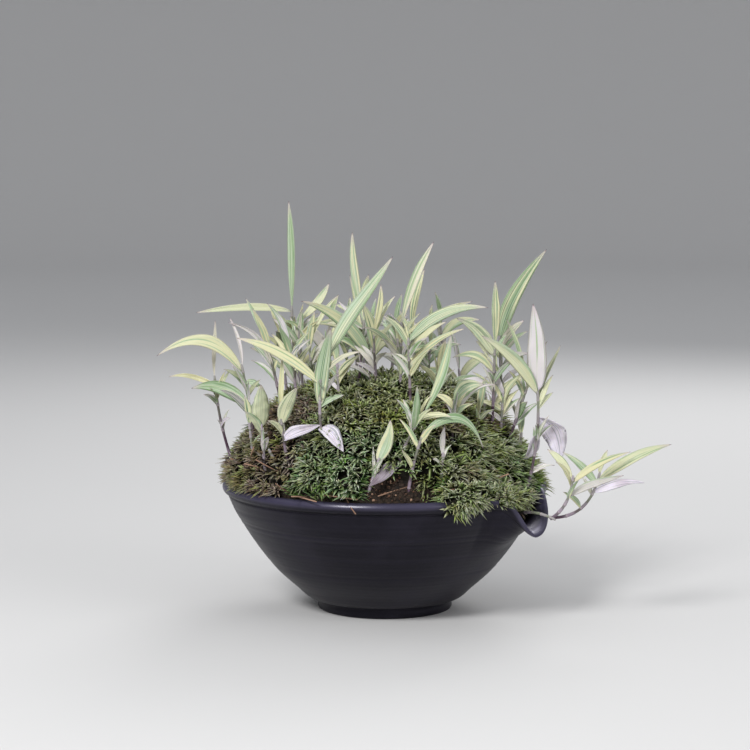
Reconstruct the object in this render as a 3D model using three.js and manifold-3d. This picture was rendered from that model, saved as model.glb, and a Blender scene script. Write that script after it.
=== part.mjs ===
// Potted bamboo bonsai: dwarf striped bamboo on a mossy hill of soil, in a thrown bowl with a pouring lip.
// Millimetres, +Z up. The origin is the centre of the bowl's flat foot, and the front is towards -Y.

import * as THREE from "three";
import { mergeVertices } from "three/addons/utils/BufferGeometryUtils.js";
import Module from "manifold-3d";

const wasm = await Module();
wasm.setup();

// Bowl
const FOOT_RADIUS = 46;
const RIM_RADIUS = 110;
const RIM_HEIGHT = 88;
const WALL = 5.5;
const FLOOR_HEIGHT = 12;
const BOWL_SIDES = 50;

// Pouring lip, pulled out of the rim
const LIP_AZIMUTH = THREE.MathUtils.degToRad(-39.5);
const SIDES_NEAR_LIP = 0.62;
// Up the middle of the wall: height, radius, and how far the lip moves it out and down
const WALL_LINE = [
  [22, 65, 0, 0], [30, 73.8, 0, 0], [38, 79.5, 0, 0], [46, 85.3, 1.2, 0.2], [52, 89.5, 3, 0.6],
  [58, 93.2, 5.4, 1.8], [64, 96.7, 7.6, 3.6], [70, 99.8, 10, 6], [76, 102.4, 13, 9],
  [80, 104.2, 15.4, 13], [85, 107, 17.6, 21.3],
];
const WALL_LEVELS = [24, 84];
const RIM_PULL = 17.6;
// Half widths of the outward pull and of the dip: towards the front, and away from it
const PULL_WIDTHS = [26, 44];
const DIP_WIDTHS = [17, 38];
const LIP_ROUNDNESS = 0.7;

// Hill of soil
const HILL_CENTRE = [-4, 0];
const HILL_RADIUS = 106;
const HILL_RISE = 67;
const HILL_BOTTOM = -5;
const HILL_CELLS = 17;
const SOIL_EDGE = 81;
const LIP_DIP = 20;
const LIP_DIP_RADIUS = 40;

// Moss on the hill. Its borders wave: [height in millimetres, waves round the hill] each.
const MOSS_DEPTH = 8.5;
const MOSS_EDGE_SHARE = 0.35;
const MOSS_RELIEF = 2.2;
// Bumps along each of x and y: their pace, how far a slower wave across bends them, and its pace
const BUMPS_X = [2.9, 1.4, 5];
const BUMPS_Y = [2.7, 1.2, 4.3];
const TUFT_STEPS = [7, 13];
const SHOULDER_FLATNESS = 6;
const SHOULDER_ROUNDNESS = 0.4;
const MOSS_BORDER = 57;
const MOSS_OUTER = 107;
const LIP_MOSS_EDGE = 100;
const LIP_MOSS_ANGLES = [0.08, 0.25];
const MOSS_SUNK = 4;
const MOSS_GAP = 0.5;
const MOSS_CORNER = 0.1;
const BORDER_WAVES = [[3.5, 5], [2, 11]];
const SIDE_WAVE = 0.07;
const SIDE_WAVE_PACE = 7;
const SIDE_WAVE_SHIFT = 40;
const OVERHANG = 12;
const OVERHANG_RISE = 8;
const OVERHANG_RADII = [86, 102];
const OVERHANG_FROM = -1.27;
const OVERHANG_TO = -0.74;
const OVERHANG_EASE = 0.12;
const CELL = 8;

// Bamboo
const CULM_SIDES = 4;
const CULM_BASE_RADIUS = 1.15;
const CULM_TOP_RADIUS = 0.85;
const NODE_PLACES = [0.45, 0.73];
const NODE_SWELL = 1.25;
const PLANTING_DEPTH = 9;
const BLADE_THICKNESS = 0.7;
const BLADE_STATIONS = [0, 0.15, 0.4, 0.7];
const SMALL_BLADE_STATIONS = [0, 0.25, 0.62];
const SMALL_BLADE_WIDTH = 5;
const BLADE_BASE_WIDTH = 0.8;
const BLADE_SKEW = 0.6;
const BLADE_FULLNESS = 0.9;
const SUNK = 2.5;
const FACING_LEAST = 50;
const FACING_SPREAD = 30;
const HEADING_SPREAD = 60;

// Shoots behind the crown, spread over the back of the hill
const BACK_SHOOTS = 14;
const BACK_SEED = 38;
const BACK_CENTRE_Y = 46;
const BACK_SPREAD = [80, 34];
const BACK_LEAN = [16, 12];
const BACK_RISE = [34, 22];
const BACK_SPEAR = [18, 12];
const BACK_LEAF_LENGTH = [26, 14];
const BACK_LEAF_WIDTH = [5, 3];

// What touches keeps this much apart
const CLEARANCE = 0.35;

const UP = new THREE.Vector3(0.01, 0.02, 1).normalize();
const AXIS_Y = new THREE.Vector3(0, 1, 0);

// The same repeatable draw between 0 and 1 for the same number.
const DRAW_TURN = 12.9898;
const DRAW_SCALE = 43758.5453;

function draw(number) {
  const wave = Math.sin(number * DRAW_TURN) * DRAW_SCALE;
  return wave - Math.floor(wave);
}

function smoothstep(low, high, value) {
  return THREE.MathUtils.smoothstep(value, low, high);
}

function solidOf(geometry) {
  const plain = geometry.clone();
  plain.deleteAttribute("normal");
  plain.deleteAttribute("uv");
  const merged = mergeVertices(plain, 1e-4);
  const corners = merged.index.array;
  const kept = [];
  for (let i = 0; i < corners.length; i += 3) {
    const [a, b, c] = [corners[i], corners[i + 1], corners[i + 2]];
    if (a !== b && b !== c && c !== a) kept.push(a, b, c);
  }
  return new wasm.Manifold(new wasm.Mesh({
    numProp: 3,
    vertProperties: new Float32Array(merged.attributes.position.array),
    triVerts: new Uint32Array(kept),
  }));
}

function geometryOf(solid) {
  const mesh = solid.getMesh();
  const geometry = new THREE.BufferGeometry();
  geometry.setAttribute("position", new THREE.BufferAttribute(new Float32Array(mesh.vertProperties), 3));
  geometry.setIndex(new THREE.BufferAttribute(new Uint32Array(mesh.triVerts), 1));
  geometry.computeVertexNormals();
  return geometry;
}

function meshGeometry(points, faces) {
  const geometry = new THREE.BufferGeometry().setFromPoints(points);
  geometry.setIndex(faces);
  return geometry;
}

// A closed skin over rings of points, each ring counter-clockwise about the way the rings go.
// The last ring may be a single point.
function skin(rings) {
  const faces = [];
  const size = rings[0].length;
  for (let k = 1; k + 1 < size; k++) faces.push(0, k + 1, k);
  for (let i = 0; i + 1 < rings.length; i++) {
    const low = i * size;
    const high = low + size;
    const pointed = rings[i + 1].length === 1;
    for (let k = 0; k < size; k++) {
      const next = (k + 1) % size;
      if (pointed) faces.push(low + k, low + next, high);
      else faces.push(low + k, low + next, high + next, low + k, high + next, high + k);
    }
  }
  const end = (rings.length - 1) * size;
  if (rings.at(-1).length > 1) {
    for (let k = 1; k + 1 < size; k++) faces.push(end, end + k, end + k + 1);
  }
  return solidOf(meshGeometry(rings.flat(), faces));
}

// A curve through two ends whose middle is moved off the straight line by an offset.
function bowed(from, to, offset) {
  const middle = from.clone().add(to).multiplyScalar(0.5).addScaledVector(offset, 2);
  return new THREE.QuadraticBezierCurve3(from, middle, to);
}

// Bowl: a lathe-turned profile of points r, z, each with the way it moves, out and up, where the bowl
// is grown all round by some clearance to serve as a cutter.
const FOOT_PROFILE = [
  [0, 0, 0, -1], [FOOT_RADIUS - 1, 0, 0, -1], [FOOT_RADIUS, 1.2, 1, 0], [FOOT_RADIUS - 0.6, 6, 1, 0],
];
const OUTER_PROFILE = [
  [53, 8.5], [61, 16], [74, 28], [86, 43], [96, 58], [102.5, 69], [107.2, 79],
  [RIM_RADIUS - 0.2, 81.5], [RIM_RADIUS + 0.6, 84.5], [RIM_RADIUS - 0.7, RIM_HEIGHT - 0.7],
].map((point) => [...point, 1, 0]);
const RIM_PROFILE = [[RIM_RADIUS - 3, RIM_HEIGHT, 0, 1], [RIM_RADIUS - WALL + 0.4, RIM_HEIGHT - 1.4, -1, 0]];
const INNER_PROFILE = [
  [RIM_RADIUS - WALL - 1, 82, -1, 0], [100.2, 76, -1, 0], [96.9, 70, -1, 0], [92, 61, -1, 0],
  [58, 25, -1, 1], [0, FLOOR_HEIGHT, 0, 1],
];

function grownPoints(profile, grown) {
  return profile.map(([r, z, out, up]) => new THREE.Vector2(r + grown * out, z + grown * up));
}

function bowlProfile(grown) {
  return grownPoints([...FOOT_PROFILE, ...OUTER_PROFILE, ...RIM_PROFILE, ...INNER_PROFILE], grown);
}

// The room inside the bowl, a little smaller than the bowl's own inside and open at the top. It runs down
// the wall as the bowl's profile does, so that both are split into the same triangles.
function roomProfile(smaller) {
  const wall = grownPoints(INNER_PROFILE, smaller);
  const top = new THREE.Vector2(wall[0].x, RIM_HEIGHT + HILL_RISE);
  return [new THREE.Vector2(0, top.y), top, ...wall];
}

// A smooth bump: 1 in the middle, 0 from the half width on.
function swell(aside, halfWidth) {
  return aside < halfWidth ? (1 + Math.cos((Math.PI * aside) / halfWidth)) / 2 : 0;
}

// The middle of the wall at a height, as [r, z], with the lip's pull and dip taken in some share.
function wallMiddle(height, pull, dip) {
  const next = Math.max(1, WALL_LINE.findIndex(([level]) => level >= height));
  const [low, high] = [WALL_LINE[next - 1], WALL_LINE[next]];
  const share = (height - low[0]) / (high[0] - low[0]);
  const [, middle, out, down] = low.map((value, i) => THREE.MathUtils.lerp(value, high[i], share));
  return new THREE.Vector2(middle + pull * out, height - dip * down);
}

function wallFrame(level, pull, dip) {
  const along = wallMiddle(level + 1, pull, dip).sub(wallMiddle(level - 1, pull, dip)).normalize();
  return { centre: wallMiddle(level, pull, dip), along, out: new THREE.Vector2(along.y, -along.x) };
}

// A point of the profile keeps its place beside the wall's middle, which bends out and down into the
// lip. What stands above the rim only moves out.
function bent(point, pull, dip) {
  if (point.y > RIM_HEIGHT + 1) return new THREE.Vector2(point.x + pull * RIM_PULL, point.y);
  const level = THREE.MathUtils.clamp(point.y, ...WALL_LEVELS);
  const [from, to] = [wallFrame(level, 0, 0), wallFrame(level, pull, dip)];
  const offset = point.clone().sub(from.centre);
  return to.centre
    .addScaledVector(to.along, offset.dot(from.along))
    .addScaledVector(to.out, offset.dot(from.out));
}

// Closer sides near the pouring lip, and the wall bent into it.
function pullLip(geometry) {
  const position = geometry.attributes.position;
  for (let i = 0; i < position.count; i++) {
    const [x, y, z] = [position.getX(i), position.getY(i), position.getZ(i)];
    const even = Math.atan2(y, x) - LIP_AZIMUTH;
    const azimuth = even - SIDES_NEAR_LIP * Math.sin(even);
    const aside = RIM_RADIUS * Math.atan2(Math.sin(azimuth), Math.cos(azimuth));
    const side = aside > 0 ? 1 : 0;
    const pull = swell(Math.abs(aside), PULL_WIDTHS[side]) ** LIP_ROUNDNESS;
    const dip = swell(Math.abs(aside), DIP_WIDTHS[side]) ** LIP_ROUNDNESS;
    const { x: radius, y: height } = bent(new THREE.Vector2(Math.hypot(x, y), z), pull, dip);
    const angle = LIP_AZIMUTH + azimuth;
    position.setXYZ(i, radius * Math.cos(angle), radius * Math.sin(angle), height);
  }
  return geometry;
}

// A profile that runs upwards outside turns out as a solid. One that runs downwards comes out inside
// out, and its faces are turned round.
function turned(profile) {
  const geometry = pullLip(new THREE.LatheGeometry(profile, BOWL_SIDES).rotateX(Math.PI / 2));
  if (profile[0].y > profile.at(-1).y) geometry.index.array.reverse();
  return solidOf(geometry);
}

// Height of the soil: a hill with steep sides that dips behind the pouring lip.
function soilHeight(x, y) {
  const out = Math.min(Math.hypot(x - HILL_CENTRE[0], y - HILL_CENTRE[1]) / HILL_RADIUS, 1);
  const lipX = RIM_RADIUS * Math.cos(LIP_AZIMUTH);
  const lipY = RIM_RADIUS * Math.sin(LIP_AZIMUTH);
  const dip = 1 - smoothstep(0, LIP_DIP_RADIUS, Math.hypot(x - lipX, y - lipY));
  return SOIL_EDGE + HILL_RISE * (1 - out ** 3) - LIP_DIP * dip;
}

// A closed pad over a square grid of cells that plan(u, v) bends to its outline, u and v from -1 to 1.
function pad(plan, top, bottom, columns, rows) {
  const points = [];
  const faces = [];
  for (const height of [top, bottom]) {
    for (let j = 0; j <= rows; j++) {
      for (let i = 0; i <= columns; i++) {
        const [u, v] = [(2 * i) / columns - 1, (2 * j) / rows - 1];
        const [x, y] = plan(u, v);
        points.push(new THREE.Vector3(x, y, height(x, y, u, v)));
      }
    }
  }
  const at = (i, j) => j * (columns + 1) + i;
  const below = (columns + 1) * (rows + 1);
  for (let j = 0; j < rows; j++) {
    for (let i = 0; i < columns; i++) {
      const [a, b, c, d] = [at(i, j), at(i + 1, j), at(i + 1, j + 1), at(i, j + 1)];
      faces.push(a, b, c, a, c, d);
      faces.push(below + a, below + c, below + b, below + a, below + d, below + c);
    }
  }
  const wall = (a, b) => faces.push(a, below + a, below + b, a, below + b, b);
  for (let i = 0; i < columns; i++) {
    wall(at(i, 0), at(i + 1, 0));
    wall(at(i + 1, rows), at(i, rows));
  }
  for (let j = 0; j < rows; j++) {
    wall(at(columns, j), at(columns, j + 1));
    wall(at(0, j + 1), at(0, j));
  }
  return solidOf(meshGeometry(points, faces));
}

function hill(raised) {
  const radius = RIM_RADIUS + RIM_PULL;
  const round = (u, v) => [radius * u * Math.sqrt(1 - v * v / 2), radius * v * Math.sqrt(1 - u * u / 2)];
  return pad(round, (x, y) => soilHeight(x, y) + raised, () => HILL_BOTTOM, HILL_CELLS, HILL_CELLS);
}

// Moss: cushions pressed side by side, each a sector of the hill with rounded corners and wavy borders.
// Angles in degrees from +X, radii from the bowl's axis.
const MOSS = [
  { name: "moss_left", from: 180, to: 233, inner: MOSS_BORDER, outer: MOSS_OUTER },
  { name: "moss_front", from: 233, to: 265, inner: MOSS_BORDER, outer: MOSS_OUTER },
  { name: "moss_front_upper", from: 265, to: 291, inner: MOSS_BORDER, outer: 95 },
  { name: "moss_right_upper", from: 291, to: 346, inner: MOSS_BORDER, outer: 78 },
  { name: "moss_right", from: 291, to: 346, inner: 78, outer: MOSS_OUTER },
  { name: "moss_back_right", from: -14, to: 83, inner: MOSS_BORDER, outer: MOSS_OUTER },
  { name: "moss_back_left", from: 83, to: 180, inner: MOSS_BORDER, outer: MOSS_OUTER },
];
const DEGREE = Math.PI / 180;

// Both neighbours at a border bend it alike, so they stay apart.
function wavyRadius(radius, angle) {
  const [[slow, few], [quick, many]] = BORDER_WAVES;
  const wave = slow * Math.sin(few * angle + radius) + quick * Math.sin(many * angle);
  return radius < LIP_MOSS_EDGE ? radius + wave : radius;
}

function wavyAngle(degrees, radius) {
  const turns = degrees * DEGREE;
  return turns + SIDE_WAVE * Math.sin(radius / SIDE_WAVE_PACE + SIDE_WAVE_SHIFT * Math.cos(turns));
}

// Where the moss hangs over the rim: 1 in front of the pouring lip, 0 elsewhere.
function overhang(angle) {
  const azimuth = Math.atan2(Math.sin(angle), Math.cos(angle));
  const before = smoothstep(OVERHANG_FROM, OVERHANG_FROM + OVERHANG_EASE, azimuth);
  return before * (1 - smoothstep(OVERHANG_TO - OVERHANG_EASE, OVERHANG_TO, azimuth));
}

// At the pouring lip the moss stops short, so that the lip's floor lies bare.
function mossOuter(outer, angle) {
  const off = Math.abs(Math.atan2(Math.sin(angle - LIP_AZIMUTH), Math.cos(angle - LIP_AZIMUTH)));
  const full = smoothstep(...LIP_MOSS_ANGLES, off);
  const edge = Math.min(outer, THREE.MathUtils.lerp(LIP_MOSS_EDGE, outer, full));
  return edge + (outer === MOSS_OUTER ? OVERHANG * overhang(angle) : 0);
}

function bumpWave(along, across, [pace, bend, acrossPace]) {
  return Math.sin(along / pace + bend * Math.sin(across / acrossPace));
}

// The cushions bulge, with steep shoulders, and are bumpy all over.
function mossTop(x, y, u, v) {
  const shoulder = ((1 - u ** SHOULDER_FLATNESS) * (1 - v ** SHOULDER_FLATNESS)) ** SHOULDER_ROUNDNESS;
  const bumps = bumpWave(x, y, BUMPS_X) * bumpWave(y, x, BUMPS_Y);
  const tufts = draw(Math.round(x * TUFT_STEPS[0]) + Math.round(y * TUFT_STEPS[1])) - 0.5;
  const over = OVERHANG_RISE * overhang(Math.atan2(y, x)) * smoothstep(...OVERHANG_RADII, Math.hypot(x, y));
  const bulge = MOSS_DEPTH * (MOSS_EDGE_SHARE + (1 - MOSS_EDGE_SHARE) * shoulder);
  return soilHeight(x, y) + bulge + MOSS_RELIEF * shoulder * (bumps + tufts) + over;
}

function mossBottom(x, y) {
  return soilHeight(x, y) - MOSS_SUNK;
}

function mossSector({ from, to, inner, outer }) {
  const plan = (u, v) => {
    const along = v * (1 - MOSS_CORNER * u * u);
    const across = u * (1 - MOSS_CORNER * v * v);
    const near = (inner + outer) / 2 + (along * (outer - inner)) / 2;
    const [start, end] = [wavyAngle(from, near), wavyAngle(to, near)];
    const angle = (start + end) / 2 + across * ((end - start) / 2 - MOSS_GAP / near);
    const low = wavyRadius(inner, angle) + MOSS_GAP;
    const high = mossOuter(wavyRadius(outer, angle), angle) - MOSS_GAP;
    const radius = (low + high) / 2 + (along * (high - low)) / 2;
    return [radius * Math.cos(angle), radius * Math.sin(angle)];
  };
  const columns = Math.round(((to - from) * DEGREE * (inner + outer)) / 2 / CELL);
  const rows = Math.max(3, Math.round((outer - inner) / CELL));
  return pad((u, v) => plan(-u, v), mossTop, mossBottom, columns, rows);
}

function mossMound() {
  const disc = (u, v) => [u * Math.sqrt(1 - (v * v) / 2), v * Math.sqrt(1 - (u * u) / 2)];
  const round = (u, v) => {
    const [x, y] = disc(u, v);
    const angle = Math.atan2(y, x);
    const radius = Math.hypot(x, y) * (wavyRadius(MOSS_BORDER, angle) - MOSS_GAP);
    return [radius * Math.cos(angle), radius * Math.sin(angle)];
  };
  const top = (x, y, u, v) => mossTop(x, y, Math.hypot(...disc(u, v)), 0);
  const cells = Math.round((2 * MOSS_BORDER) / CELL);
  return pad(round, top, mossBottom, cells, cells);
}

// Culm: a tapered stem with slightly swollen nodes, its foot well down in the soil.
function culmCurve({ foot, top, bow = [0, 0, 0] }) {
  const [x, y, z = soilHeight(foot[0], foot[1]) - PLANTING_DEPTH] = foot;
  return bowed(new THREE.Vector3(x, y, z), new THREE.Vector3(...top), new THREE.Vector3(...bow));
}

function culm(curve, grown) {
  const rings = [0, ...NODE_PLACES, 1].map((at) => {
    const along = curve.getTangent(at);
    const across = AXIS_Y.clone().cross(along).normalize();
    const beside = along.clone().cross(across);
    const widening = NODE_PLACES.includes(at) ? NODE_SWELL : 1;
    const radius = THREE.MathUtils.lerp(CULM_BASE_RADIUS, CULM_TOP_RADIUS, at) * widening + grown;
    const centre = curve.getPoint(at).addScaledVector(along, at === 0 ? -grown : 0);
    return Array.from({ length: CULM_SIDES }, (_, k) => {
      const angle = (2 * Math.PI * k) / CULM_SIDES;
      return centre.clone()
        .addScaledVector(across, radius * Math.cos(angle))
        .addScaledVector(beside, radius * Math.sin(angle));
    });
  });
  return skin(rings);
}

// Width of a blade along its length: narrow at the base, widest at a third, with a long pointed tip.
function bladeWidth(s, width) {
  return s === 0 ? BLADE_BASE_WIDTH : width * Math.sin(Math.PI * s ** BLADE_SKEW) ** BLADE_FULLNESS;
}

// Blade: a flat upper face over a keel at the midrib, swept from inside the culm to the tip. Its upper
// face looks up and, by the facing angle, towards the front. It keeps one crosswise direction, so the
// upper face isn't twisted.
function blade(base, [x, y, z, width, arch, facing], number) {
  const tip = new THREE.Vector3(x, y, z);
  const chord = tip.clone().sub(base).normalize();
  const rise = UP.clone().addScaledVector(chord, -UP.dot(chord)).normalize();
  const curve = bowed(base, tip, rise.multiplyScalar(arch));
  const tilt = THREE.MathUtils.degToRad(facing ?? FACING_LEAST + FACING_SPREAD * draw(number));
  const heading = THREE.MathUtils.degToRad(HEADING_SPREAD * (draw(number + 0.5) - 0.5));
  const face = new THREE.Vector3(
    Math.sin(heading) * Math.sin(tilt), -Math.cos(heading) * Math.sin(tilt), Math.cos(tilt));
  const side = chord.clone().cross(face).normalize();
  const stations = width < SMALL_BLADE_WIDTH ? SMALL_BLADE_STATIONS : BLADE_STATIONS;
  const rings = stations.map((s) => {
    const centre = curve.getPoint(s);
    const normal = side.clone().cross(curve.getTangent(s)).normalize();
    const half = bladeWidth(s, width) / 2;
    const thick = BLADE_THICKNESS / 2;
    const place = (out, up) => centre.clone().addScaledVector(side, out).addScaledVector(normal, up);
    return [place(half, thick), place(0, -thick), place(-half, thick)];
  });
  return skin([...rings, [curve.getPoint(1)]]);
}

// Planting plan. A culm has its foot [x, y] in the soil, or [x, y, z] where it grows out of another,
// its top, the bow of its middle, and its leaves: place along the culm, tip x, y, z, width, arch of
// the middle, and where it matters the facing angle. Culms with one name grow as one shoot.
const PLAN = [
  { name: "shoot_left_edge", foot: [-99, -12], top: [-115, -12, 160], bow: [-3, 0, 0], leaves: [
    [1, -114, -16, 198, 3, 1], [0.94, -147, -2, 158, 3.5, 3], [0.8, -107, -20, 164, 3, 1]] },
  { name: "shoot_left_arching", foot: [-86, -26], top: [-96, -26, 169], bow: [1, 0, 0], leaves: [
    [1, -104, -22, 200, 3, 2], [0.95, -152, -34, 175, 9, 16, 70], [0.62, -131, -10, 151, 9.5, 6, 70],
    [0.78, -107, -40, 167, 4, 3], [0.86, -82, -32, 152, 5, 2], [0.5, -109, -46, 154, 5, 3]] },
  { name: "shoot_left_front", foot: [-78, -59], top: [-81, -64, 134], leaves: [
    [1, -81, -68, 160, 12, 1, 85], [0.88, -91, -74, 143, 5.5, 2], [0.6, -76, -72, 126, 4, 2]] },
  { name: "shoot_left_dry_leaf", foot: [-60, -72], top: [-68, -70, 139], bow: [-1, 0, 0], leaves: [
    [1, -67, -66, 179, 3.5, 1], [0.95, -57, -78, 159, 9, 2, 80], [0.76, -76, -82, 138, 4.5, 2],
    [0.7, -42, -80, 135, 6, 3, 60]] },
  { name: "shoot_tall", foot: [-61, 20], top: [-64, 20, 205], leaves: [
    [1, -66, 24, 277, 5, 1, 85], [0.98, -129, 6, 201, 5.5, 3, 60], [0.6, -54, 12, 189, 3, 1]] },
  { name: "shoot_upper_left_1", foot: [-67, -14], top: [-81, -14, 186], bow: [1, 0, 0], leaves: [
    [1, -94, -8, 212, 3, 1], [0.9, -89, -20, 206, 5, 2], [0.78, -105, -26, 197, 3.5, 6],
    [0.55, -91, -6, 170, 4, 3]] },
  { name: "shoot_upper_left_2", foot: [-58, -22], top: [-65, -22, 186], bow: [1, 0, 0], leaves: [
    [0.95, -79, -26, 210, 4.5, 3], [0.84, -71, -32, 196, 4.5, 1], [0.52, -76, -33, 176, 6, 3],
    [0.66, -49, -14, 182, 4, 1]] },
  { name: "shoot_upper_left_3", foot: [-55, 4], top: [-59, 4, 198], leaves: [
    [1, -38, 10, 221, 6, -2], [0.92, -69, -4, 197, 3, 1], [0.8, -56, -2, 204, 6, 2, 85],
    [0.64, -65, 14, 198, 3, 1]] },
  { name: "shoot_upper_left_4", foot: [-46, -2], top: [-52, -2, 183], leaves: [
    [0.9, -48, 0, 203, 5, 1], [1, -32, 6, 213, 3, 2], [0.7, -35, -10, 189, 4, 2]] },
  { name: "shoot_upper_left_5", foot: [-9, -20], top: [-11, -20, 177], leaves: [
    [1, -56, -36, 212, 8.5, 7, 75], [0.6, -32, -40, 170, 4, 3], [0.75, 1, -26, 177, 4, 2]] },
  { name: "shoot_front_left", foot: [-37, -75], top: [-36, -74, 182], bow: [-6, 0, 0], leaves: [
    [1, 5, -64, 243, 8.5, 2, 80], [0.55, -35, -84, 198, 9.5, 3, 85], [0.74, -96, -78, 191, 7, 5, 65],
    [0.84, -16, -88, 183, 4.5, 3], [0.36, -27, -92, 119, 9, 3, 40]] },
  { name: "shoot_centre_1", foot: [-19, -18], top: [-14, -18, 198], leaves: [
    [1, -22, -12, 257, 5.5, -2, 85], [0.94, -35, -28, 201, 4, 2], [0.74, -24, -8, 228, 3, 1],
    [0.84, -32, -4, 210, 3, 2], [0.66, -38, -22, 186, 5, 4]] },
  { name: "shoot_centre_2", foot: [-13, 8], top: [-16, 8, 201], leaves: [
    [1, -11, 10, 227, 5.5, 1], [0.9, -35, 20, 206, 4, 3], [0.64, 3, 0, 190, 4, 3],
    [0.78, -40, 4, 194, 5.5, 4]] },
  { name: "shoot_centre_3", foot: [-5, -32], top: [-8, -32, 192], leaves: [
    [1, -3, -36, 223, 4, -2], [0.95, 7, -26, 215, 5, 3], [0.82, -15, -42, 211, 8, 3, 80],
    [0.74, 8, -40, 200, 4, 3]] },
  { name: "shoot_centre_4", foot: [10, -10], top: [11, -10, 196], leaves: [
    [1, 33, -4, 250, 6, 3, 80], [0.87, 0, -20, 202, 3.5, 2], [0.77, 24, -16, 203, 3.5, 2],
    [0.62, 36, -22, 178, 5, 4], [0.7, -4, 0, 196, 4, 3]] },
  { name: "shoot_centre_5", foot: [19, 6], top: [19, 6, 189], leaves: [
    [1, 27, 10, 231, 5, 3, 80], [0.8, 10, 16, 202, 3.5, 2], [0.62, 37, 0, 180, 4, 2],
    [0.88, 46, 12, 204, 6, 4]] },
  { name: "shoot_centre_6", foot: [12, -34], top: [8, -34, 187], leaves: [
    [1, 58, -40, 212, 3.5, 4], [0.7, 23, -44, 170, 3.5, 4], [0.62, 0, -42, 187, 4, 3],
    [0.84, -14, -50, 196, 5, 3]] },
  { name: "shoot_centre_7", foot: [17, -50], top: [15, -50, 189], leaves: [
    [1, 68, -42, 208, 7.5, 8, 65], [0.85, 40, -58, 200, 5.5, 3], [0.72, 52, -64, 196, 4.5, 4],
    [0.57, 3, -56, 180, 4, 2], [0.94, -2, -58, 204, 4.5, 3]] },
  { name: "shoot_front_curled", foot: [5, -89], top: [26, -90, 146], bow: [-3, 0, 0], leaves: [
    [1, 42, -84, 194, 6, -3, 85], [0.92, 42, -96, 142, 5, 2], [0.36, -11, -108, 104, 7, -3, 30],
    [0.76, 20, -96, 162, 6, -3]] },
  { name: "shoot_front_arched", foot: [14, -96], top: [25, -96, 134], bow: [-2, 0, 0], leaves: [
    [1, 63, -88, 120, 7, 15, 60], [0.86, 32, -102, 138, 4, 1], [0.5, 10, -103, 122, 3, 1]] },
  { name: "shoot_right_folded", foot: [43, -62], top: [45, -62, 149], leaves: [
    [1, 64, -68, 160, 10, 5, 75], [0.88, 32, -56, 152, 4.5, 3], [0.76, 73, -52, 158, 4.5, 7],
    [0.68, 57, -74, 148, 4, 3]] },
  { name: "shoot_bud", foot: [35, -88], top: [37, -88, 118], leaves: [
    [1, 38, -88, 135, 4.5, 1, 80], [0.7, 30, -97, 115, 4, 2, 40]] },
  { name: "shoot_front_short", foot: [-13, -97], top: [-4, -98, 116], leaves: [
    [1, 3, -94, 140, 8, -2, 85], [0.6, -1, -104, 117, 3, 1]] },
  { name: "shoot_right_1", foot: [71, -30], top: [73, -30, 184], leaves: [
    [1, 73, -28, 225, 6, 1, 85], [0.92, 47, -42, 201, 8.5, 4, 75], [0.76, 45, -22, 173, 5.5, 7],
    [0.66, 86, -38, 174, 3.5, 2], [0.56, 49, -36, 158, 6, 5]] },
  { name: "shoot_right_2", foot: [81, -10], top: [77, -10, 187], leaves: [
    [1, 109, -6, 245, 10, 5, 80], [0.93, 93, -20, 198, 6, 2], [0.84, 97, 0, 189, 4, 3],
    [0.66, 63, 2, 175, 4, 3], [0.74, 96, -26, 176, 5, 4]] },
  { name: "shoot_right_3", foot: [76, -26], top: [79, -26, 151], leaves: [
    [1, 70, -28, 179, 7, -3, 85], [0.86, 92, -30, 164, 4, 3], [0.7, 88, -20, 150, 5, 2]] },
  { name: "shoot_right_4", foot: [79, -20], top: [96, -20, 155], leaves: [
    [1, 81, -16, 199, 3, 2], [0.94, 108, -28, 185, 3.5, 1], [0.58, 95, -28, 144, 6, 2],
    [0.5, 105, -12, 142, 5, 2]] },
  { name: "shoot_right_5", foot: [89, -16], top: [92, -16, 122], leaves: [
    [1, 92, -16, 140, 4.5, 1, 80]] },
  { name: "shoot_right_edge", foot: [88, -46], top: [101, -34, 154], bow: [5, 0, 0], leaves: [
    [1, 98, -32, 210, 12.5, 1, 85], [0.98, 63, -48, 190, 8, 5, 70], [0.8, 117, -30, 103, 12, 13, 70],
    [0.66, 92, -34, 106, 6, -3], [0.93, 119, -4, 180, 3.5, 2], [0.36, 114, -26, 101, 5, 2]] },
  { name: "sprout_left", foot: [-86, -42], top: [-90, -44, 132], leaves: [[1, -93, -44, 150, 4.5, 1, 80]] },
  { name: "sprout_crown_left", foot: [-30, -36], top: [-32, -38, 172], leaves: [
    [1, -36, -40, 192, 5, 1, 80], [0.8, -16, -52, 178, 4, 2]] },
  { name: "sprout_crown_right", foot: [34, -30], top: [36, -32, 164], leaves: [
    [1, 40, -34, 186, 5, 1, 80], [0.8, 22, -38, 170, 4, 2]] },
  { name: "sprout_right", foot: [60, -44], top: [62, -46, 142], leaves: [[1, 66, -48, 162, 5, 1, 80]] },
  { name: "culm_stub_left", foot: [-66, -66], top: [-76, -70, 118], leaves: [] },
  { name: "culm_stub_right", foot: [66, -24], top: [67, -25, 150], leaves: [] },
  { name: "shoot_trailing", foot: [75, -60], top: [109, -92, 75], bow: [0, 0, 5], leaves: [] },
  { name: "shoot_trailing", foot: [106, -89, 75], top: [120, -94, 104], bow: [3, 0, -3], leaves: [
    [1, 104, -86, 120, 5, 2], [0.85, 108, -102, 114, 4, 3], [0.7, 152, -100, 105, 5, 2],
    [0.95, 158, -84, 118, 4.5, 3]] },
  { name: "shoot_trailing", foot: [106, -89, 76], top: [139, -76, 104], bow: [5, 0, -8], leaves: [
    [1, 144, -74, 118, 3.5, 1], [0.9, 115, -70, 116, 5, 2], [0.94, 185, -78, 122, 7, 3, 65],
    [0.8, 167, -84, 98, 5, 3], [0.75, 127, -66, 100, 4, 2]] },
];

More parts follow.
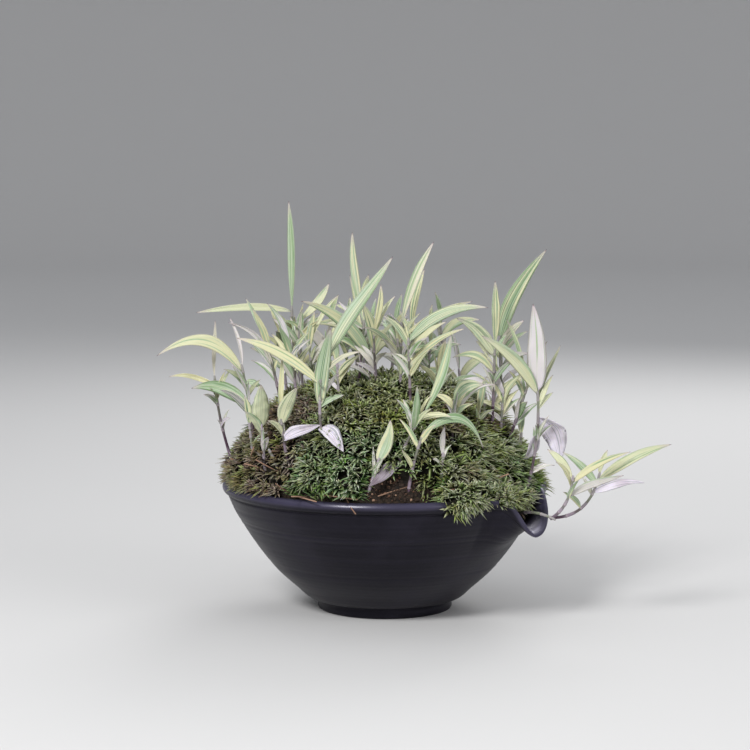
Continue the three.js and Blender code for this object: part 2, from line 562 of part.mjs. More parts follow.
// Shoots behind the crown, on a sunflower pattern over the back of the hill, each with a spear at the top
// and leaves on two opposite sides. Each pair of values is the least and the spread of a draw.
const GOLDEN_ANGLE = Math.PI * (3 - Math.sqrt(5));

function backShoot(index) {
  const random = (step) => draw(BACK_SEED + index + step / 16);
  const between = ([least, more], step) => least + more * random(step);
  const spread = Math.sqrt((index + 0.5) / BACK_SHOOTS);
  const x = BACK_SPREAD[0] * spread * Math.cos(index * GOLDEN_ANGLE);
  const y = BACK_CENTRE_Y + BACK_SPREAD[1] * spread * Math.sin(index * GOLDEN_ANGLE);
  const [leanX, leanY] = [BACK_LEAN[0] * (random(1) - 0.5), BACK_LEAN[1] * (random(2) - 0.3)];
  const top = [x + leanX, y + leanY, soilHeight(x, y) + between(BACK_RISE, 3)];
  const spear = [1, top[0] + leanX, top[1] + leanY, top[2] + between(BACK_SPEAR, 4), 3.5, 1];
  const sideLeaf = (at, order) => {
    const angle = 2 * Math.PI * random(5) + order * Math.PI;
    const length = between(BACK_LEAF_LENGTH, 6 + order);
    const [tipX, tipY] = [top[0] + length * Math.cos(angle), top[1] + 0.7 * length * Math.sin(angle)];
    return [at, tipX, tipY, top[2] - 2 + 12 * random(8 + order), between(BACK_LEAF_WIDTH, 10 + order), 5];
  };
  const name = `shoot_back_${String(index + 1).padStart(2, "0")}`;
  return { name, foot: [x, y], top, leaves: [spear, sideLeaf(0.9, 0), sideLeaf(0.72, 1)] };
}

for (let index = 0; index < BACK_SHOOTS; index++) PLAN.push(backShoot(index));

// Shoots: each name's culms and leaves joined into one solid, and the holes that its culms need.
const shoots = new Map();
const holes = [];
for (const [number, plant] of PLAN.entries()) {
  const curve = culmCurve(plant);
  let solid = culm(curve, 0);
  for (const [order, [at, ...leaf]] of plant.leaves.entries()) {
    const base = curve.getPoint(at).addScaledVector(curve.getTangent(at), -SUNK);
    solid = solid.add(blade(base, leaf, number * 7 + order));
  }
  shoots.set(plant.name, shoots.has(plant.name) ? shoots.get(plant.name).add(solid) : solid);
  holes.push(culm(curve, CLEARANCE));
}

const potted = new THREE.Group();

function addPart(name, solid, material) {
  const mesh = new THREE.Mesh(geometryOf(solid), material);
  mesh.name = name;
  potted.add(mesh);
}

// What is left of a solid after the cutters, without the loose scraps that cutting may leave.
function cut(solid, cutters) {
  const rest = cutters.reduce((left, cutter) => left.subtract(cutter), solid);
  return rest.decompose().sort((one, other) => other.volume() - one.volume())[0];
}

const stoneware = new THREE.MeshStandardMaterial({ color: 0x1b1b20, roughness: 0.42, metalness: 0 });
addPart("bowl", turned(bowlProfile(0)), stoneware);

const earth = new THREE.MeshStandardMaterial({ color: 0x2a1c14, roughness: 0.95, metalness: 0 });
const room = turned(roomProfile(CLEARANCE));
addPart("soil", cut(hill(0).intersect(room), holes), earth);

const mossColours = { moss_left: 0x5b5427, moss_right_upper: 0x4e4420, moss_front: 0x4f7a2a };
const kept = [hill(CLEARANCE + 0.1), turned(bowlProfile(CLEARANCE + 0.1)), ...holes];
const cushions = [["moss_mound", mossMound()], ...MOSS.map((sector) => [sector.name, mossSector(sector)])];
for (const [name, cushion] of cushions) {
  const colour = mossColours[name] ?? 0x5c6e2e;
  addPart(name, cut(cushion, kept), new THREE.MeshStandardMaterial({ color: colour, roughness: 0.95 }));
}

const leafColours = [0xc9c98a, 0xb5bd7a, 0xa9b87c, 0xd3cfa0, 0x9aae74];
for (const [index, [name, solid]] of [...shoots].entries()) {
  const colour = leafColours[index % leafColours.length];
  addPart(name, solid, new THREE.MeshStandardMaterial({ color: colour, roughness: 0.6 }));
}

export default potted;
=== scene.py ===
import bpy
import numpy as np
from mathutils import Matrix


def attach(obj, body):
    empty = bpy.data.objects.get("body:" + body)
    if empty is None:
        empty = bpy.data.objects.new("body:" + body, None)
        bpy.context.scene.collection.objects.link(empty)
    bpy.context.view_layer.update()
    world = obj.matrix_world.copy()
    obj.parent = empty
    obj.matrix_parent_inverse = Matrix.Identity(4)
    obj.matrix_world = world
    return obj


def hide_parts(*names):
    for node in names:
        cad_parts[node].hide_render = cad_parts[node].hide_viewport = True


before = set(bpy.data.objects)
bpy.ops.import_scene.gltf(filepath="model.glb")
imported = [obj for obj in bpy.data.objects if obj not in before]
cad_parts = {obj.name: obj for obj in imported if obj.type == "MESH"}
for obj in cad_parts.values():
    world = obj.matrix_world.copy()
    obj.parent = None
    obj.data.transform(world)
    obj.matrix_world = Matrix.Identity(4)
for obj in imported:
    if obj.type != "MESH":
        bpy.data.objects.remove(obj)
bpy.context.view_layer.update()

# The bowl is black stoneware, thrown on a wheel and left unglazed. Its rim is a rounded bead over a
# groove, and a pouring lip was pulled out of the rim with a finger while the clay was wet.
# Sizes are millimetres, turned to metres when a mesh is made.
RIM_RADIUS = 110
FLOOR_HEIGHT = 12
# The profile as radius and height: the foot, the wall outside, the rim's bead and the wall inside.
FOOT_LINE = [[15, 0], [30, 0], [44.4, 0], [45.4, 0.3], [45.9, 1.4], [45.7, 4], [45.6, 6.2]]
OUTER_LINE = [[46.6, 7.4], [53, 8.9], [61, 16], [74, 28], [86, 43], [96, 58], [102.5, 69], [106.6, 78.2]]
BEAD_LINE = [[106.6, 78.2], [107, 80], [109.6, 81.6], [110.6, 84.4], [109.4, 87.2], [107.2, 88],
             [105.3, 87], [103.7, 82.5]]
INNER_LINE = [[103.7, 82.5], [92, 61], [58, 25], [30, 14.5], [2, FLOOR_HEIGHT]]
LIP_AZIMUTH = np.radians(-39.5)
SIDES_NEAR_LIP = 0.62
# Up the middle of the wall: height, radius, and how far the finger moved it out and down at the lip.
WALL_LINE = [(22, 65, 0, 0), (30, 73.8, 0, 0), (38, 79.5, 0, 0), (46, 85.3, 1.2, 0.2), (52, 89.5, 3, 0.6),
             (58, 93.2, 5.4, 1.8), (64, 96.7, 7.6, 3.6), (70, 99.8, 10, 6), (76, 102.4, 13, 9),
             (80, 104.2, 15.4, 13), (85, 107, 17.6, 21.3)]
WALL_LEVELS = (24, 84)
# Half widths of the outward pull and of the dip: towards the front, and away from it.
PULL_WIDTHS = (26, 44)
DIP_WIDTHS = (17, 38)
LIP_ROUNDNESS = 0.7
# Heights between which the wall at the lip grows thinner, and by what share.
THINNED = (64, 82, 0.6)
BOWL_SIDES = 300
# Height of each dent that the thrower's fingers left, its depth and its half height.
THROWING_RINGS = [(79.6, 0.35, 0.7), (71.5, 0.14, 0.8), (62.2, 0.3, 0.6), (58.4, 0.22, 0.9),
                  (47.0, 0.16, 0.8), (33.5, 0.18, 1.0)]
CLAY = (0.0045, 0.0042, 0.0062, 1)
BLOOM = (0.024, 0.022, 0.033, 1)
# The next two colours are painted light: a painted highlight along the top of the bead, and the lit inside of
# the pouring lip painted paler.
RIM_HIGHLIGHT_CLAY = (0.05, 0.046, 0.075, 1)
LIT_LIP_CLAY = (0.085, 0.076, 0.12, 1)
GRIT = (0.05, 0.045, 0.055, 1)


class Wire:
    """An output of a shader node. The signs + - * and ** on it each add one Math node."""

    def __init__(self, tree, socket=None):
        self.tree = tree
        self.socket = socket

    def made(self, kind, settings=None, values=None, output=0):
        """Adds a node: its settings are set first, then its sockets get their values or links."""
        node = self.tree.nodes.new(kind)
        for key, value in (settings or {}).items():
            setattr(node, key, value)
        for key, value in (values or {}).items():
            if isinstance(value, Wire):
                self.tree.links.new(value.socket, node.inputs[key])
            else:
                node.inputs[key].default_value = value
        return Wire(self.tree, node.outputs[output])

    def maths(self, operation, *values):
        return self.made("ShaderNodeMath", {"operation": operation}, dict(enumerate(values)))

    def __add__(self, other):
        return self.maths("ADD", self, other)

    __radd__ = __add__

    def __sub__(self, other):
        return self.maths("SUBTRACT", self, other)

    def __rsub__(self, other):
        return self.maths("SUBTRACT", other, self)

    def __mul__(self, other):
        return self.maths("MULTIPLY", self, other)

    __rmul__ = __mul__

    def __pow__(self, other):
        return self.maths("POWER", self, other)

    def between(self, low, high):
        """0 below low, 1 above high, and a smooth step from one to the other."""
        values = {"Value": self, "From Min": low, "From Max": high}
        return self.made("ShaderNodeMapRange", {"interpolation_type": "SMOOTHSTEP"}, values)

    def colours(self, first, second):
        """A colour from first, where this is 0, to second, where it is 1."""
        values = {0: self, 6: first, 7: second}
        return self.made("ShaderNodeMix", {"data_type": "RGBA"}, values, output=2)

    def noise(self, scale, detail=2.0, roughness=0.5, vector=None):
        """Noise over the piece's own coordinates, or over another vector."""
        where = vector or self.made("ShaderNodeTexCoord", output=3)
        values = {"Vector": where, "Scale": scale, "Detail": detail, "Roughness": roughness}
        return self.made("ShaderNodeTexNoise", None, values)

    def stored(self, name, output=2):
        """A value stored at the points of the mesh, or with output 0 a colour."""
        return self.made("ShaderNodeAttribute", {"attribute_name": name}, output=output)

    def bump(self, strength, distance):
        values = {"Height": self, "Strength": strength, "Distance": distance}
        return self.made("ShaderNodeBump", None, values)


def new_material(name, constants):
    """A new material with one shader, whose unchanging values are given, and the start of its wiring."""
    material = bpy.data.materials.new(name)
    material.use_nodes = True
    tree = material.node_tree
    shader = tree.nodes["Principled BSDF"]
    for key, value in constants.items():
        shader.inputs[key].default_value = value
    return material, shader, Wire(tree)


def wire_to(shader, values):
    """Links what changes over the surface to the shader's sockets."""
    for key, wire in values.items():
        wire.tree.links.new(wire.socket, shader.inputs[key])


def strung(start, rings, end):
    """For each tube its start value, the values on its rings and its end value, as one flat array."""
    size = rings.shape[-1]
    flat = rings.reshape(len(rings), -1, size)
    return np.concatenate([start[:, None], flat, end[:, None]], 1).reshape(-1, size)


def tube_faces(count, stations, sides):
    """Corner numbers of closed tubes, each a start point, rings and an end point: four-sided faces
    between rings and triangles to the ends. Rings turn counter-clockwise about the way to the end."""
    side = np.arange(sides)
    after = (side + 1) % sides
    ring = 1 + sides * np.arange(stations - 1)[:, None]
    quads = np.stack([ring + side, ring + after, ring + after + sides, ring + side + sides], -1)
    last = 1 + sides * (stations - 1)
    opening = np.stack([0 * side, 1 + after, 1 + side], -1)
    closing = np.stack([last + side, last + after, 0 * side + last + sides], -1)
    first = (stations * sides + 2) * np.arange(count)[:, None, None]
    quads = (quads.reshape(-1, 4) + first).reshape(-1, 4)
    return quads, (np.concatenate([opening, closing]) + first).reshape(-1, 3)


def together(shapes):
    """Several shapes (points, quads, triangles, values by name) joined as one."""
    firsts = np.cumsum([0] + [len(shape[0]) for shape in shapes[:-1]])
    points = np.concatenate([shape[0] for shape in shapes])
    quads = np.concatenate([shape[1] + first for shape, first in zip(shapes, firsts)])
    triangles = np.concatenate([shape[2] + first for shape, first in zip(shapes, firsts)])
    values = {key: np.concatenate([shape[3][key] for shape in shapes]) for key in shapes[0][3]}
    return points, quads, triangles, values


def placed(name, data):
    """A new object in the scene."""
    made = bpy.data.objects.new(name, data)
    bpy.context.scene.collection.objects.link(made)
    return made


def mesh_of(name, shape, material):
    """A smooth-shaded mesh from a shape in millimetres, with its values stored at the points."""
    points, quads, triangles, values = shape
    mesh = bpy.data.meshes.new(name)
    mesh.vertices.add(len(points))
    mesh.vertices.foreach_set("co", (points * 0.001).astype(np.float32).ravel())
    corners = np.concatenate([quads.ravel(), triangles.ravel()]).astype(np.int32)
    starts = np.concatenate([np.arange(len(quads)) * 4, len(quads) * 4 + np.arange(len(triangles)) * 3])
    mesh.loops.add(len(corners))
    mesh.loops.foreach_set("vertex_index", corners)
    mesh.polygons.add(len(starts))
    mesh.polygons.foreach_set("loop_start", starts.astype(np.int32))
    mesh.polygons.foreach_set("use_smooth", np.ones(len(starts), bool))
    for key, value in values.items():
        kind, field = ("FLOAT", "value") if value.shape[-1] == 1 else ("FLOAT_COLOR", "color")
        layer = mesh.attributes.new(key, kind, "POINT")
        layer.data.foreach_set(field, value.astype(np.float32).ravel())
    mesh.update(calc_edges=True)
    mesh.validate()
    mesh.materials.append(material)
    return mesh


def made_piece(name, shape, material, replaced=()):
    """A piece that rides on the body and, where nodes are given, stands in for those CAD nodes."""
    made = placed(name, mesh_of(name, shape, material))
    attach(made, "root")
    if replaced:
        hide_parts(*replaced)
    return made


def smooth_step(low, high, value):
    """0 below low, 1 above high, and three t squared minus two t cubed between them."""
    t = np.clip((value - low) / (high - low), 0, 1)
    return t * t * (3 - 2 * t)


def swell(aside, half_width):
    """A raised cosine: 1 in the middle, 0 from the half width on."""
    return np.where(aside < half_width, (1 + np.cos(np.pi * np.minimum(aside / half_width, 1))) / 2, 0)


def through(points, step):
    """A smooth line through points: a Catmull-Rom cubic between each two of them, then read off at
    even steps of its length."""
    points = np.array([2 * np.array(points[0]) - points[1], *points, 2 * np.array(points[-1]) - points[-2]])
    t = np.linspace(0, 1, 40, endpoint=False)[:, None, None]
    a, b, c, d = points[:-3], points[1:-2], points[2:-1], points[3:]
    curve = b + t * (c - a) / 2 + t**2 * (a - 2.5 * b + 2 * c - d / 2) + t**3 * (3 * (b - c) + d - a) / 2
    curve = np.concatenate([curve.transpose(1, 0, 2).reshape(-1, points.shape[1]), points[-2:-1]])
    run = np.concatenate([[0], np.cumsum(np.linalg.norm(np.diff(curve, axis=0), axis=1))])
    at = np.linspace(0, run[-1], int(run[-1] / step) + 1)
    return np.stack([np.interp(at, run, column) for column in curve.T], -1)


def pull_lip(even, radius, height):
    """The turned wall bent into the lip. Angles crowd towards the lip. The wall's middle line moves out
    and down by raised cosines of the distance along the rim, and each point keeps its place beside
    that line, along its direction and across it. The finger left the lip's edge thinner."""
    azimuth = even - SIDES_NEAR_LIP * np.sin(even)
    aside = RIM_RADIUS * np.arctan2(np.sin(azimuth), np.cos(azimuth))
    pull, dip = (swell(np.abs(aside), np.where(aside > 0, far, near)) ** LIP_ROUNDNESS
                 for near, far in (PULL_WIDTHS, DIP_WIDTHS))
    table = through(WALL_LINE, 0.5).T
    level = np.clip(height, *WALL_LEVELS) + 0 * pull

    def line(at, pull, dip):
        middle, out, down = (np.interp(at, table[0], column) for column in table[1:])
        return middle + pull * out, at - dip * down

    def frame_of(pull, dip):
        (r0, z0), (r1, z1) = line(level - 1, pull, dip), line(level + 1, pull, dip)
        run = np.hypot(r1 - r0, z1 - z0)
        return (*line(level, pull, dip), (r1 - r0) / run, (z1 - z0) / run)

    r, z, along_r, along_z = frame_of(0, 0)
    along = (radius - r) * along_r + (height - z) * along_z
    beside = (radius - r) * along_z - (height - z) * along_r
    beside = beside * (1 - THINNED[2] * dip * smooth_step(*THINNED[:2], height))
    r, z, along_r, along_z = frame_of(pull, dip)
    out, up = r + along * along_r + beside * along_z, z + along * along_z - beside * along_r
    angle = LIP_AZIMUTH + azimuth
    return np.stack([out * np.cos(angle), out * np.sin(angle), up], -1)


def bowl_shape():
    """The profile, foot to rim to inner floor, turned about the axis with shallow throwing rings:
    each ring is a Gaussian dent in the radius, and fine rings are a sine of the height. The inside of
    the lip is marked for painted light, and the top of the bead for polish and a painted highlight."""
    steps = (OUTER_LINE, 0.8), (BEAD_LINE, 0.4), (INNER_LINE, 2.0)
    outside, bead, inside = (through(line, step) for line, step in steps)
    profile = np.concatenate([FOOT_LINE, outside[:-1], bead[:-1], inside])
    place = np.arange(len(profile))[:, None]
    even = np.linspace(0, 2 * np.pi, BOWL_SIDES, endpoint=False)[None]
    radius, height = profile[:, :1] + 0 * even, profile[:, 1:] + 0 * even
    tilt = 0.35 * np.sin(even + 0.8) + 0.12 * np.sin(3 * even)
    outer = (place < len(FOOT_LINE) + len(outside) + 5) * smooth_step(9, 16, height)
    dents = sum(deep * np.exp(-(((height + tilt - at) / wide) ** 2)) for at, deep, wide in THROWING_RINGS)
    fine = 0.045 * np.sin((height + 2 * tilt) * 3.1) * np.sin((height - tilt) * 0.83 + 1)
    uneven = 0.18 * np.sin(2 * even + 0.6) * smooth_step(10, 60, height)
    rings = pull_lip(even, radius - outer * (dents + fine) + uneven, height)[None]
    start, end = np.array([[0, 0, 0.0]]), np.array([[0, 0, float(FLOOR_HEIGHT)]])
    quads, triangles = tube_faces(1, rings.shape[1], BOWL_SIDES)
    aside = RIM_RADIUS * np.abs(even - 2 * np.pi * (even > np.pi)) * (1 - SIDES_NEAR_LIP)
    near = swell(aside, 0.8 * DIP_WIDTHS[1])
    # Masks for painted light: the inside of the lip, painted paler where light falls on it, and the top of
    # the bead, painted paler as a painted highlight and also given a glossy coat.
    lit_lip = near * smooth_step(50, 66, height) * (place > len(profile) - len(inside) - 8)
    polish_and_highlight = smooth_step(82.6, 85.4, height) * (0.75 + 0.25 * near)
    none = np.zeros((1, 1))
    values = {key: strung(none, value[None, ..., None], none)
              for key, value in (("lit_lip", lit_lip), ("polish_and_highlight", polish_and_highlight))}
    return strung(start, rings, end), quads, triangles, values


def stoneware():
    """Near-black clay: faint streaks round the bowl, paler bloom in patches, fine grit in the bump and
    a roughness that wanders. Hands have polished the bead, which gets a glossy coat and a painted
    highlight of paler clay, and the lit inside of the lip is painted paler as painted light."""
    constants = {"Specular IOR Level": 0.24, "Specular Tint": (0.8, 0.76, 1, 1), "Coat Roughness": 0.24,
                 "Coat Tint": (0.8, 0.76, 1, 1)}
    material, shader, start = new_material("stoneware", constants)
    where = start.made("ShaderNodeTexCoord", output=3)
    parts = [start.made("ShaderNodeSeparateXYZ", None, {0: where}, output=i) for i in range(3)]
    around = start.made("ShaderNodeCombineXYZ", None, {0: parts[0] * 4, 1: parts[1] * 4, 2: parts[2] * 260})
    streaks = start.noise(1.0, 3, 0.6, around)
    patches = start.noise(22, 3, 0.6)
    grit = start.noise(1500, 2, 0.6)
    specks = grit.between(0.62, 0.72)
    polish_and_highlight, lit_lip = start.stored("polish_and_highlight"), start.stored("lit_lip")
    bloom = (patches.between(0.45, 0.75) * 0.6 + streaks.between(0.4, 0.8) * 0.5) * 0.7
    # Paler clay along the bead's top is a painted highlight, and paler clay inside the lip is painted light.
    clay = (bloom + polish_and_highlight * 0.8).colours(CLAY, BLOOM)
    clay = (polish_and_highlight * patches * 1.2).colours(clay, RIM_HIGHLIGHT_CLAY)
    clay = (lit_lip * (0.55 + patches * 0.5)).colours(clay, LIT_LIP_CLAY)
    height = grit * 0.5 + streaks * 0.6 + start.noise(300, 2) * 0.4
    wire_to(shader, {
        "Base Color": (specks * 0.3).colours(clay, GRIT),
        "Roughness": 0.36 + bloom * 0.25 + specks * 0.1,
        "Coat Weight": polish_and_highlight * (0.5 + patches * 0.5),
        "Normal": height.bump(0.45, 0.0004),
    })
    return material


made_piece("bowl_thrown", bowl_shape(), stoneware(), ["bowl"])

# The soil is a steep hill of dark, damp earth pressed into the bowl, dipping behind the pouring lip.
# At the front and on the lip's floor it lies bare, strewn with grains of fired clay, and dry stalks
# lie here and there on it and in the moss.
HILL_CENTRE = (-4, 0)
HILL_RADIUS = 106
HILL_RISE = 67
SOIL_EDGE = 81
LIP_DIP = 20
LIP_DIP_RADIUS = 40
WASHED_OUT = 18
SOIL_SIDES = 200
CLEARANCE = 0.35
# Down the bowl's inner wall, from above the rim's inside to the floor, as radius and height.
SOIL_WALL = [[103.7, 87], [103.5, 82], [92, 61], [57.35, 25.6], [3.35, 13]]
# The middle of the lip's root on the rim.
ROOT = RIM_RADIUS * np.cos(LIP_AZIMUTH), RIM_RADIUS * np.sin(LIP_AZIMUTH)
GRAINS = 620
GRAIN_SIDES = 7
# Where grains lie, in degrees round the bowl and in radius: bare soil, the lip's floor, all round.
GRAIN_PLACES = ((-97, -66), (86, 102)), ((-52, -27), (88, 101)), ((-180, 180), (99, 103))
STALK_RADIUS = 0.45
STALK_SIDES = 5
STALK_BOW = 1.2
# Each dry stalk's foot x, y, z and the way along it.
STALKS = [(-62, -88, 92, -8, -14, 8), (-56, -92, 90, 12, -14, -1), (-25, -100, 90, 6, -12, -8),
          (-50, -94, 90, -10, -10, 2), (-40, -98, 92, 22, -6, -2), (-88, -48, 106, 2, -14, 12),
          (-80, -62, 104, -12, -6, 4), (-70, -76, 104, -14, -2, 8), (15, -95, 97, -20, -8, -5),
          (30, -98, 94, 14, -2, 2), (70, -66, 96, 10, -8, 6), (-95, -30, 104, -8, -8, 3)]


def soil_height(x, y):
    """Edge height, plus the rise times one minus the cube of the distance from the hill's centre as a
    share of its radius, minus a smooth dip round the root of the lip."""
    out = np.minimum(np.hypot(x - HILL_CENTRE[0], y - HILL_CENTRE[1]) / HILL_RADIUS, 1)
    dip = 1 - smooth_step(0, LIP_DIP_RADIUS, np.hypot(x - ROOT[0], y - ROOT[1]))
    return SOIL_EDGE + HILL_RISE * (1 - out**3) - LIP_DIP * dip


def chance(number):
    """A repeatable draw from 0 to 1: the fraction of a large sine of the number."""
    wave = np.sin(np.asarray(number, float) * 12.9898) * 43758.5453
    return wave - np.floor(wave)


def lumps(x, y, size, seed):
    """Value noise from -1 to 1: draws on a square lattice, blended smoothly between its corners."""
    u, v = x / size, y / size
    i, j = np.floor(u), np.floor(v)
    s, t = smooth_step(0, 1, u - i), smooth_step(0, 1, v - j)
    corner = [[2 * chance((i + a) * 1.37 + (j + b) * 7.13 + seed) - 1 for a in (0, 1)] for b in (0, 1)]
    low, high = (row[0] * (1 - s) + row[1] * s for row in corner)
    return low * (1 - t) + high * t


def bare_height(x, y):
    """The soil height, washed out further at the root of the lip, where moss and a culm hide it."""
    near = 1 - smooth_step(8, 36, np.hypot(x - ROOT[0], y - ROOT[1]))
    return soil_height(x, y) - WASHED_OUT * near


def soil_shape():
    """Rings from the crown to where the hill meets the bowl's wall, then down the wall to the floor.
    The meeting place is the first point down the pulled wall that is no higher than the hill."""
    even = np.linspace(0, 2 * np.pi, SOIL_SIDES, endpoint=False)
    wall = through(np.array(SOIL_WALL) - [CLEARANCE, 0], 0.3)
    sides = pull_lip(even[None], wall[:, :1], wall[:, 1:])
    meets = np.argmax(sides[..., 2] <= bare_height(sides[..., 0], sides[..., 1]), axis=0)
    edge = sides[meets, np.arange(SOIL_SIDES)]
    share = np.linspace(0, 1, 90)[1:, None, None]
    top = share * edge[None, :, :2]
    x, y = top[..., 0], top[..., 1]
    crumbs = 0.55 * lumps(x, y, 3.1, 5) + 0.4 * lumps(x, y, 1.3, 9)
    height = bare_height(x, y) + crumbs * (1 - share[..., 0] ** 20)
    hill = np.concatenate([top, height[..., None]], -1)
    steps = (meets + (len(wall) - 1 - meets) * np.linspace(0.08, 1, 14)[:, None]).astype(int)
    down = sides[steps, np.arange(SOIL_SIDES)]
    rings = np.concatenate([hill, down])[::-1][None]
    start = np.array([[0, 0, FLOOR_HEIGHT + 1.0]])
    end = np.array([[0, 0, float(soil_height(0, 0))]])
    quads, triangles = tube_faces(1, rings.shape[1], SOIL_SIDES)
    return strung(start, rings, end), quads, triangles, {}


def grain_shape():
    """Rounded pebbles: two rings and two ends on a sphere, each point's radius drawn at random."""
    rng = np.random.default_rng(11)
    front, lip, edge = (np.stack([rng.uniform(*ends, GRAINS) for ends in place], -1)
                        for place in GRAIN_PLACES)
    kind = rng.random(GRAINS)[:, None]
    places = np.where(kind < 0.6, front, np.where(kind < 0.66, lip, edge))
    angle, radius = np.radians(places[:, 0]), places[:, 1]
    size = rng.uniform(0.5, 1.35, GRAINS)
    x, y = radius * np.cos(angle), radius * np.sin(angle)
    centre = np.stack([x, y, soil_height(x, y) + 0.3 * size], -1)
    around = np.linspace(0, 2 * np.pi, GRAIN_SIDES, endpoint=False)
    level = np.array([-0.5, 0.5])[:, None]
    wide = np.sqrt(1 - level**2)
    ball = np.stack([wide * np.cos(around), wide * np.sin(around), level + 0 * around], -1)
    uneven = rng.uniform(0.75, 1.2, (GRAINS, 2, GRAIN_SIDES, 1))
    stretch = rng.uniform(0.7, 1.2, (GRAINS, 1, 1, 3))
    rings = centre[:, None, None] + size[:, None, None, None] * ball * uneven * stretch
    pole = np.array([0, 0, 0.95]) * size[:, None] * stretch[:, 0, 0]
    quads, triangles = tube_faces(GRAINS, 2, GRAIN_SIDES)
    shade = rng.random((GRAINS, 1)) ** 2.2
    values = {"shade": strung(shade, shade[:, None, None] + np.zeros((1, 2, GRAIN_SIDES, 1)), shade)}
    return strung(centre - pole, rings, centre + pole), quads, triangles, values


def damp_earth():
    """Dark brown earth with paler crumbs, rough, and deeply crumbly in the bump."""
    material, shader, start = new_material("damp_earth", {"Specular IOR Level": 0.3})
    crumbs = start.noise(420, 4, 0.65)
    colour = crumbs.between(0.35, 0.7).colours((0.007, 0.0048, 0.0035, 1), (0.034, 0.021, 0.013, 1))
    wire_to(shader, {
        "Base Color": colour,
        "Roughness": 0.95 - 0.2 * start.noise(90),
        "Normal": (crumbs + start.noise(1400, 2) * 0.5).bump(0.9, 0.0012),
    })
    return material


def fired_clay():
    """Grains from near-black through rust brown to tan, each its own shade, with a dusty mottle."""
    material, shader, start = new_material("fired_clay", {"Specular IOR Level": 0.3})
    shade = start.stored("shade")
    dark = shade.between(0.2, 0.7).colours((0.01, 0.007, 0.006, 1), (0.09, 0.04, 0.022, 1))
    pale = shade.between(0.7, 1.0).colours(dark, (0.42, 0.26, 0.18, 1))
    dust = start.noise(900, 3, 0.6)
    wire_to(shader, {
        "Base Color": (dust * 0.5).colours(pale, (0.1, 0.06, 0.04, 1)),
        "Roughness": 0.7 + dust * 0.3,
        "Normal": dust.bump(0.6, 0.0004),
    })
    return material


def unit(vectors):
    """Vectors divided by their length."""
    return vectors / np.maximum(np.linalg.norm(vectors, axis=-1, keepdims=True), 1e-9)


def circles(across, beside, sides):
    """The points of a circle of radius 1 for each pair of directions across a rod."""
    turn = np.linspace(0, 2 * np.pi, sides, endpoint=False)[:, None]
    return np.cos(turn) * across[:, None] + np.sin(turn) * beside[:, None]


def stalk_shape():
    """Dry stalks: thin rods from the listed feet along the listed ways, bowed sideways by half a sine."""
    feet, ways = np.array(STALKS)[:, :3], np.array(STALKS)[:, 3:]
    across = unit(np.cross(ways, [0.3, 0.2, 1]))
    beside = unit(np.cross(ways, across))
    at = np.array([0, 0.5, 1])[:, None]
    line = feet[:, None] + at * ways[:, None] + STALK_BOW * np.sin(np.pi * at) * across[:, None]
    rings = line[:, :, None] + STALK_RADIUS * circles(across, beside, STALK_SIDES)[:, None]
    quads, triangles = tube_faces(len(feet), 3, STALK_SIDES)
    shade = 0.85 + 0.15 * chance(np.arange(len(feet)))[:, None]
    values = {"shade": strung(shade, shade[:, None, None] + np.zeros((1, 3, STALK_SIDES, 1)), shade)}
    return strung(feet, rings, feet + ways), quads, triangles, values


made_piece("soil_hill", soil_shape(), damp_earth(), ["soil"])
clay = fired_clay()
made_piece("clay_grains", grain_shape(), clay)
made_piece("dry_straws", stalk_shape(), clay)

# The moss was lifted in cushions and pressed side by side over the hill, and one of them swells over
# the rim in front of the lip. Each cushion is a crumbly bed with tufts of narrow curved leaves, brown
# to bright green with pale tips.
MOSS_DEPTH = 8.5
MOSS_EDGE_SHARE = 0.35
MOSS_BORDER = 57
MOSS_OUTER = 107
MOSS_SUNK = 4
MOSS_GAP = 0.5
MOSS_CORNER = 0.1
# Radius at which cushions end in front of the lip, and the angles beside it where they reach out again.
LIP_MOSS_EDGE = 100
LIP_MOSS_ANGLES = (0.08, 0.25)
# Height and count of a border's slow and quick waves, and how far the sides wave in radians.
BORDER_WAVES = ((3.5, 5), (2, 11))
SIDE_WAVE = 0.07
# Where moss hangs over the rim, in radians, and how far out and up it swells there.
OVERHANG_FROM, OVERHANG_TO, OVERHANG_EASE = -1.27, -0.74, 0.12
OVERHANG = 12
OVERHANG_RISE = 8
SWELLS_FROM = (86, 102)
# Where the overhanging moss lies on the rim: angles, radii, and the least height of the bed's top and
# underside and of its tufts. Past the rim the underside is lifted.
BESIDE_LIP = (-1.1, -0.94, -0.62)
BESIDE_LIP_OUT = (94, 98)
BED_ON_RIM = (84, 82)
TUFTS_ON_RIM = (86, 90)
FRINGE_ON_RIM = (87, 91)
PAST_RIM = (104, 112)
PAST_RIM_LIFT = 9
# Radius out to which moss grows, how much further where it hangs over, at the far left and at the
# right, and the share that is left of what goes beyond.
INSIDE_RIM = 101
HANGING_REACH, LEFT_REACH, RIGHT_REACH = 30, 4.5, 3
LEFT_BEFORE, RIGHT_AFTER = -2.3, -0.6
BEYOND_SHARE = 0.15
BED_BELOW = 3.8
BED_CELL = 1.8
# The bed is near black: dark earth and old moss, darkened further as painted shade in the gaps between tufts.
BED_EARTH_AND_SHADE = [0.008, 0.007, 0.004, 0.0]
